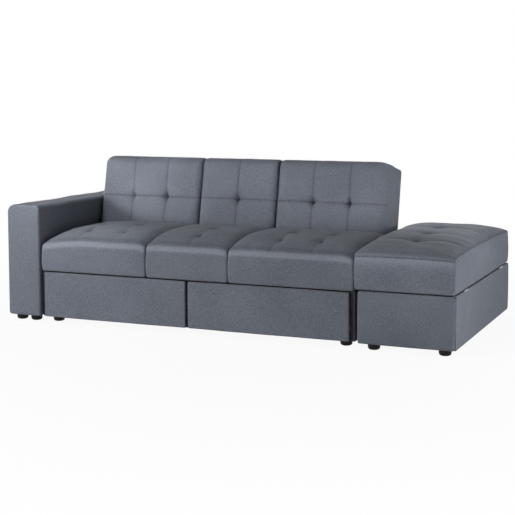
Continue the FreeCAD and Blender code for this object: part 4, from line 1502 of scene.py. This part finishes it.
@dataclass
class Arm(Upholstery):
    """The arm: one padded block with a soft top, full ends and a flat underside.

    Attributes:
        left: Radius of its outer upper edge.
        right: Radius of its inner upper edge.
        foot: Radius of its lower edges.
        edge: Radius round its ends.
        puff: How far the ends stand out.
    """

    left: float = 0.040
    right: float = 0.020
    foot: float = 0.013
    edge: float = 0.011
    puff: float = 0.004

    def build(self) -> None:
        """Builds the arm from an outline of four arcs, carried from front to rear."""
        low, high = node_box("arm_cover")
        left, right, foot = self.left, self.right, self.foot
        corners = [
            arc((low[0] + foot, low[2] + foot), foot, 180, 270, 4),
            arc((high[0] - foot, low[2] + foot), foot, 270, 360, 4),
            arc((high[0] - right, high[2] - right), right, 0, 90, 10),
            arc((low[0] + left, high[2] - left), left, 90, 180, 10),
        ]
        block = CoveredBlock(
            "cover_arm", filled(corners, 0.014), axis=1, start=low[1], end=high[1],
            edge=self.edge, puff=self.puff, seed=31,
        )
        self.finish(block.build(), "arm_cover", 0.95)


@dataclass
class Seat(Upholstery):
    """The three seat cushions.

    Attributes:
        rows: Rows of tufts, as shares of the depth.
        ease: How far the crown stays below the top of its room.
        dome: How the cushions fall away towards the front.
        outer_end: Roll of the left cushion's end beside the arm.
        left: Roll of the other cushions' left ends.
        right: Roll of the right ends.
        front: Roll of the front edge.
        rear: Roll of the rear edge.
        outer_corner: Radius of the left cushion's front corner beside the arm.
    """

    rows: tuple[float, ...] = (0.287, 0.600)
    ease: float = 0.005
    dome: Dome = Dome(drop=0.054, reach=0.280, ease=0.3)
    outer_end: Roll = Roll(0.012, 0.035, fall=0.036, slope=0.280)
    left: Roll = Roll(0.011, 0.080)
    right: Roll = Roll(0.024, 0.070)
    front: Roll = Roll(0.014, 0.016)
    rear: Roll = Roll(0.020, 0.130)
    outer_corner: float = 0.022

    def build(self) -> None:
        """Builds the cushions from left to right."""
        for seed, (side, count) in enumerate(TUFT_COLUMNS.items()):
            node = "seat_cushion_" + side
            low, high = node_box(node)
            low[1] += SEAM_ROOM
            high[1] -= SEAM_ROOM
            high[2] -= self.ease
            end, corners = self.left, Corners()
            if side == "left":
                end, corners = self.outer_end, Corners(front_left=self.outer_corner)
            tufting = Tufting(
                columns=even_lines(low[0], high[0], count),
                rows=share_lines(low[1], high[1], self.rows),
                depth=0.014, reach=0.015, column_valley=0.0012, row_valley=0.0005, valley=0.014,
                # The tufts' pits get painted shade.
                groove=0.0003, tone=0.12, painted_pit_shade=0.9, fold=0.06, draw=0.7,
            )
            cushion = Cushion(
                "cushion_" + node, low, high, left=end, right=self.right,
                front=self.front, rear=self.rear, tufting=tufting, dome=self.dome,
                # Painted highlight over the front edge, and painted shade behind it.
                corners=corners, painted_edge_highlight=2.0, painted_edge_shade=0.6, seed=seed + 1,
            )
            self.lay(cushion, node)


@dataclass
class Back(Upholstery):
    """The three back cushions and the padded shell behind them, worked out lying flat and then
    stood up about the hinge.

    Attributes:
        hinge: The hinge line and the turn about it.
        tuft_share: Place of the row of tufts, as a share of the height over the hinge.
        stitch_start: How far above the hinge the stitching starts.
        top: Radius of the cushions' upper edge.
        seam: Roll of the ends between two cushions.
        left: Roll of the outer left end.
        right: Roll of the outer right end.
        corner: Radius of the upper corners between two cushions.
        left_corner: Radius of the upper left corner.
        right_corner: Radius of the upper right corner.
        slope_reach: How far from the right end the upper edge starts to fall.
        slope_height: How far below the edge that fall fades out.
        slope_drop: How far it falls.
        pocket_width: Width of the room for a hinge's plates.
        pocket_reach: How far above the hinge that room goes.
        shell_over: How far the shell stands out past its room at each end.
        shell_soft: Radius of the shell's upper rear edge.
        shell_lip: Radius of its upper front edge.
    """

    hinge: BackHinge = field(default_factory=BackHinge)
    tuft_share: float = 0.52
    stitch_start: float = 0.020
    top: float = 0.042
    seam: Roll = Roll(0.020, 0.034)
    left: Roll = Roll(0.034, 0.050)
    right: Roll = Roll(0.026, 0.040)
    corner: float = 0.012
    left_corner: float = 0.042
    right_corner: float = 0.010
    slope_reach: float = 0.065
    slope_height: float = 0.150
    slope_drop: float = 0.017
    pocket_width: float = 0.023
    pocket_reach: float = 0.074
    shell_over: float = 0.0015
    shell_soft: float = 0.016
    shell_lip: float = 0.007

    def cushion(self, side: str, count: int, seed: int) -> None:
        """One of the back cushions.

        Args:
            side: Which one.
            count: How many columns of tufts it has.
            seed: Which unevenness it has.
        """
        stand = self.hinge.standing()
        pivot = self.hinge.pivot
        node = "back_cushion_" + side
        low, high = self.hinge.lying_box(node)
        radius = high[2] - pivot[2]
        low[1] = pivot[1] - radius
        tufting = Tufting(
            columns=even_lines(low[0], high[0], count),
            rows=share_lines(pivot[1], high[1], (self.tuft_share,)),
            depth=0.036, reach=0.0115, column_valley=0.0008, row_valley=0.0016, valley=0.009,
            # The tufts' pits get strong painted shade.
            groove=0.0014, tone=1.7, painted_pit_shade=2.0,
        )
        cushion = Cushion(
            "cushion_" + node, low, high,
            left=self.left if side == "left" else self.seam,
            right=self.right if side == "right" else self.seam,
            front=Roll(radius, radius), rear=Roll(self.top, self.top), tufting=tufting,
            corners=Corners(
                rear_left=self.left_corner if side == "left" else self.corner,
                rear_right=self.right_corner if side == "right" else self.corner,
            ),
            under=0.0015, bulge=0.001, seam_tone=0.0, seed=seed,
        )
        piece, line = cushion.build()
        if side == "left":
            self.pocket(piece, low[0], -1)
        if side == "right":
            self.slope(piece, high)
            self.pocket(piece, high[0], 1)
        piece.data.transform(stand)
        refine(piece)
        self.finish(piece, node, 0.75)
        line = line[line[:, 1] > pivot[1] + self.stitch_start]
        self.sew_on(piece, moved(line, stand))

    def slope(self, piece: bpy.types.Object, high: np.ndarray) -> None:
        """Lets the upper edge of a lying piece of the back fall towards its right end, along a
        parabola that fades out below the edge.

        Args:
            piece: The piece.
            high: Highest corner of its box.
        """
        points = vertex_array(piece.data)
        end = unit(1 - (high[0] - points[:, 0]) / self.slope_reach) ** 2
        upper = unit(1 - (high[1] - points[:, 1]) / self.slope_height)
        points[:, 1] -= self.slope_drop * end * upper
        place_vertices(piece.data, points)

    def pocket(self, piece: bpy.types.Object, end: float, side: int) -> None:
        """Cuts the room for a hinge's plates into a lying piece of the back.

        Args:
            piece: The piece.
            end: Its end face's place along X.
            side: -1 at the left end, 1 at the right.
        """
        more = 0.3
        pivot = self.hinge.pivot
        inner, outer = end - side * self.pocket_width, end + side * more
        low = np.array([min(inner, outer), pivot[1] - more, pivot[2] - more])
        high = np.array([max(inner, outer), pivot[1] + self.pocket_reach, pivot[2] + more])
        cutter = sew("cutter", CoveredPanel(low, high, radius=0.001, puff=0.0, step=1.0).patches())
        cut = piece.modifiers.new("Pocket", "BOOLEAN")
        cut.operation = "DIFFERENCE"
        cut.solver = "EXACT"
        cut.object = cutter
        bake_modifiers(piece)
        mesh = cutter.data
        bpy.data.objects.remove(cutter)
        bpy.data.meshes.remove(mesh)

    def shell(self) -> None:
        """The padded shell: a flat rear, a round lower edge and a soft top edge, from end to end."""
        low, high = self.hinge.lying_box("back_shell")
        pivot = self.hinge.pivot
        radius = pivot[2] - low[2]
        soft, lip = self.shell_soft, self.shell_lip
        split = math.degrees(math.asin((high[2] - pivot[2]) / radius))
        corners = [
            arc((pivot[1], pivot[2]), radius, 180 - split, 270, 26),
            arc((high[1] - soft, low[2] + soft), soft, -90, 0, 12),
            arc((high[1] - lip, high[2] - lip), lip, 0, 90, 4),
        ]
        ends = (low[0] - self.shell_over, high[0] + self.shell_over)
        block = CoveredBlock(
            "cover_back_shell", filled(corners, 0.013), axis=0, start=ends[0], end=ends[1],
            edge=0.003, puff=0.0015,
        )
        piece = block.build()
        self.slope(piece, high)
        for end, side in zip(ends, (-1, 1)):
            self.pocket(piece, end, side)
        piece.data.transform(self.hinge.standing())
        self.finish(piece, "back_shell", 0.9)

    def build(self) -> None:
        """Builds the cushions from left to right, and then the shell."""
        for seed, (side, count) in enumerate(TUFT_COLUMNS.items()):
            self.cushion(side, count, seed + 5)
        self.shell()


@dataclass
class Boards(Upholstery):
    """The covered boards of one node, on a drawer or on the ottoman.

    Attributes:
        node: CAD node of the boards.
        seed: Which unevenness they have.
        radius: Radius of their edges.
    """

    node: str
    seed: int
    radius: float = 0.006

    def build(self) -> None:
        """Builds the boards as one piece."""
        patches = []
        for low, high in islands(self.node):
            patches += CoveredPanel(low, high, radius=self.radius, seed=self.seed).patches()
        self.finish(sew("cover_" + self.node, patches), self.node, 1.0)


@dataclass
class Lid(Upholstery):
    """The ottoman's lid cushion.

    Attributes:
        rows: Rows of tufts, as shares of the depth.
        dome: How it falls away towards its front and its rear.
        left: Roll of its left side.
        right: Roll of its right side.
        end: Roll of its front and its rear.
        corners: Radii of its corners.
    """

    rows: tuple[float, ...] = (0.200, 0.360, 0.560, 0.770)
    dome: Dome = Dome(drop=0.052, reach=0.420, both=True, ease=0.85)
    left: Roll = Roll(0.037, 0.150)
    right: Roll = Roll(0.050, 0.170)
    end: Roll = Roll(0.016, 0.026)
    corners: Corners = Corners(front_right=0.014, rear_right=0.030)

    def build(self) -> None:
        """Builds the cushion with its one column of tufts."""
        low, high = node_box("lid_cushion")
        low[1] += SEAM_ROOM
        high[:2] -= SEAM_ROOM
        tufting = Tufting(
            columns=even_lines(low[0], high[0], 1),
            rows=share_lines(low[1], high[1], self.rows),
            depth=0.023, reach=0.018, column_valley=0.0, row_valley=0.0050, valley=0.026,
            # The tufts' pits get painted shade.
            groove=0.0003, tone=0.12, painted_pit_shade=1.1,
        )
        cushion = Cushion(
            "cushion_lid", low, high, left=self.left, right=self.right,
            front=self.end, rear=self.end, tufting=tufting, dome=self.dome,
            corners=self.corners, bulge=0.0015,
            seam_tone=2.4, seam_width=0.0026, corner_tone=0.5,
            # Painted highlight over the front edge and down the front wall.
            painted_edge_highlight=1.6, edge_reach=0.032, seed=9,
        )
        self.lay(cushion, "lid_cushion")


@dataclass
class Feet:
    """The feet of one node, round and black in place of the plain tapered ones.

    Attributes:
        finishes: Every finish of the sofa bed.
        body: Body that they ride on.
        node: CAD node that they stand for.
        foot: The shape of each.
    """

    finishes: Finishes
    body: str
    node: str
    foot: Foot = field(default_factory=Foot)

    def build(self) -> None:
        """Moulds the feet as one piece."""
        patches = [self.foot.patch(low, high) for low, high in islands(self.node)]
        piece = sew("moulded_" + self.node, patches)
        piece.data.materials.append(self.finishes.black)
        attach(piece, self.body)
        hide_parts(self.node)
        log.info("%s: %d points on %s", piece.name, len(piece.data.vertices), self.body)


@dataclass(frozen=True)
class SoftLamp:
    """A flat lamp aimed at a point, with a honeycomb in front where its light is held together.

    Attributes:
        name: Its name.
        place: Where it hangs.
        target: Where it points.
        size: Its width and height.
        power: Its power in watts.
        spread: Full angle that its light spreads over, in degrees.
        tint: Its colour.
    """

    name: str
    place: tuple[float, float, float]
    target: tuple[float, float, float]
    size: tuple[float, float]
    power: float
    spread: float = 180.0
    tint: tuple[float, float, float] = (1.0, 1.0, 1.0)

    def light(self) -> None:
        """Hangs the lamp."""
        data = bpy.data.lights.new(self.name, "AREA")
        data.shape = "RECTANGLE"
        data.size, data.size_y = self.size
        data.energy = self.power
        data.spread = math.radians(self.spread)
        data.color = self.tint
        lamp = placed(self.name, data)
        lamp.location = self.place
        aim = Vector(self.target) - Vector(self.place)
        lamp.rotation_mode = "QUATERNION"
        lamp.rotation_quaternion = aim.to_track_quat("-Z", "Y")


class Studio:
    """The camera, the soft lamps, the pale floor and the white backdrop."""

    white = (1.0, 1.0, 1.0, 1.0)
    camera_place = (2.292, -5.329, 1.117)
    camera_turn = 22.28
    camera_tilt = 5.0
    lens = 82.95
    shift = (-0.05, -0.1237)
    sky = 0.01
    floor_grey = (0.82, 0.82, 0.82, 1.0)
    floor_half = 30.0
    floor_near = 1.2
    floor_fade = 0.55
    floor_glow = 0.93
    lamps = (
        SoftLamp("key_lamp", (-1.6, -2.6, 2.6), (-0.4, 0.05, 0.65), size=(1.2, 1.2), power=57.0),
        SoftLamp("low_lamp", (-3.4, -4.6, 0.9), (0.0, 0.0, 0.35), size=(1.5, 1.5), power=113.0),
        SoftLamp("side_lamp", (2.5, -0.7, 0.33), (1.1, 0.0, 0.33), size=(0.5, 0.5), power=15.5),
        SoftLamp("lid_lamp", (2.6, 0.6, 1.6), (1.1, 0.2, 0.4), size=(1.0, 1.0), power=8.0),
        SoftLamp(
            "back_lamp", (-1.7, -4.2, 1.0), (-0.15, 0.03, 0.63),
            size=(1.7, 0.2), power=0.42, spread=6.0,
        ),
        SoftLamp(
            "arm_lamp", (-2.2, -3.6, 1.3), (-0.85, -0.2, 0.62),
            size=(0.5, 0.3), power=0.27, spread=10.0,
        ),
        SoftLamp(
            "seat_lamp", (-0.8, -1.6, 2.4), (-0.70, -0.44, 0.44),
            size=(0.5, 0.2), power=0.12, spread=8.0,
        ),
        SoftLamp(
            "ottoman_lamp", (0.6, -4.5, 0.9), (0.9, -0.4, 0.33),
            size=(0.5, 0.4), power=0.10, spread=6.0,
        ),
        SoftLamp(
            "end_lamp", (3.2, -0.9, 0.80), (0.75, 0.08, 0.52),
            size=(0.3, 0.3), power=0.19, spread=13.0,
        ),
        SoftLamp(
            "rear_lamp", (-0.8, 4.6, 1.3), (0.0, 0.4, 0.4),
            size=(2.0, 2.0), power=118.0, tint=(0.96, 0.98, 1.07),
        ),
    )

    def camera(self) -> None:
        """Sets the camera where the photograph was taken from."""
        data = bpy.data.cameras.new("camera")
        data.lens = self.lens
        data.sensor_width = 36.0
        data.shift_x, data.shift_y = self.shift
        data.clip_end = 100.0
        camera = placed("camera", data)
        camera.location = self.camera_place
        tilt = math.radians(90 - self.camera_tilt)
        camera.rotation_euler = (tilt, 0.0, math.radians(self.camera_turn))
        bpy.context.scene.camera = camera

    def floor(self) -> None:
        """A pale floor that keeps the sofa's shadow near it and turns to the backdrop's white
        further off, for the camera and for reflections alike."""
        shader = Shader("pale_floor")
        shader.fixed({"Roughness": 0.9, "Base Color": self.floor_grey})
        whole, _ = shader.object_axes()
        away = shader.value(shader.add("ShaderNodeVectorMath", {0: whole}, operation="LENGTH"), 1)
        fade = ((away - self.floor_near) * self.floor_fade).clamped()
        glow = shader.add("ShaderNodeEmission", {"Strength": 1.0})
        share = shader.seen() * fade.between(self.floor_glow, 1.0)
        shader.feed(shader.output, 0, shader.mixed(share, shader.surface, glow))
        ends = (-self.floor_half, self.floor_half)
        x, y = np.meshgrid(ends, ends)
        points = np.stack([x, y, np.zeros_like(x)], -1)
        floor = sew("floor", [Patch(points, points[..., :2].copy())], outwards=False)
        floor.data.materials.append(shader.material)

    def world(self) -> None:
        """A dim even sky that the camera and reflections see as white."""
        world = bpy.data.worlds.new("backdrop")
        bpy.context.scene.world = world
        tree = NodeTree(world)
        dim = tree.add("ShaderNodeBackground", {0: self.white, 1: self.sky})
        bright = tree.add("ShaderNodeBackground", {0: self.white})
        tree.add("ShaderNodeOutputWorld", {0: tree.mixed(tree.seen(), dim, bright)})

    def build(self) -> None:
        """Sets up the whole studio."""
        self.camera()
        self.floor()
        self.world()
        for lamp in self.lamps:
            lamp.light()
        bpy.context.scene.view_settings.view_transform = "Standard"


def main() -> None:
    logging.basicConfig(level=logging.INFO, format="%(message)s")
    Studio().build()
    finishes = Finishes()
    finishes.dress_nodes()
    sub_assemblies = (
        Arm(finishes, "base"),
        Seat(finishes, "base"),
        Back(finishes, "back"),
        Boards(finishes, "drawer_left", "drawer_left_front", seed=40),
        Boards(finishes, "drawer_right", "drawer_right_front", seed=41),
        Boards(finishes, "ottoman", "ottoman_ends", seed=42, radius=0.009),
        Boards(finishes, "ottoman", "ottoman_side_left", seed=43),
        Lid(finishes, "lid"),
        Feet(finishes, "base", "sofa_feet"),
        Feet(finishes, "ottoman", "ottoman_feet"),
    )
    for sub_assembly in sub_assemblies:
        sub_assembly.build()


if __name__ == "__main__":
    main()
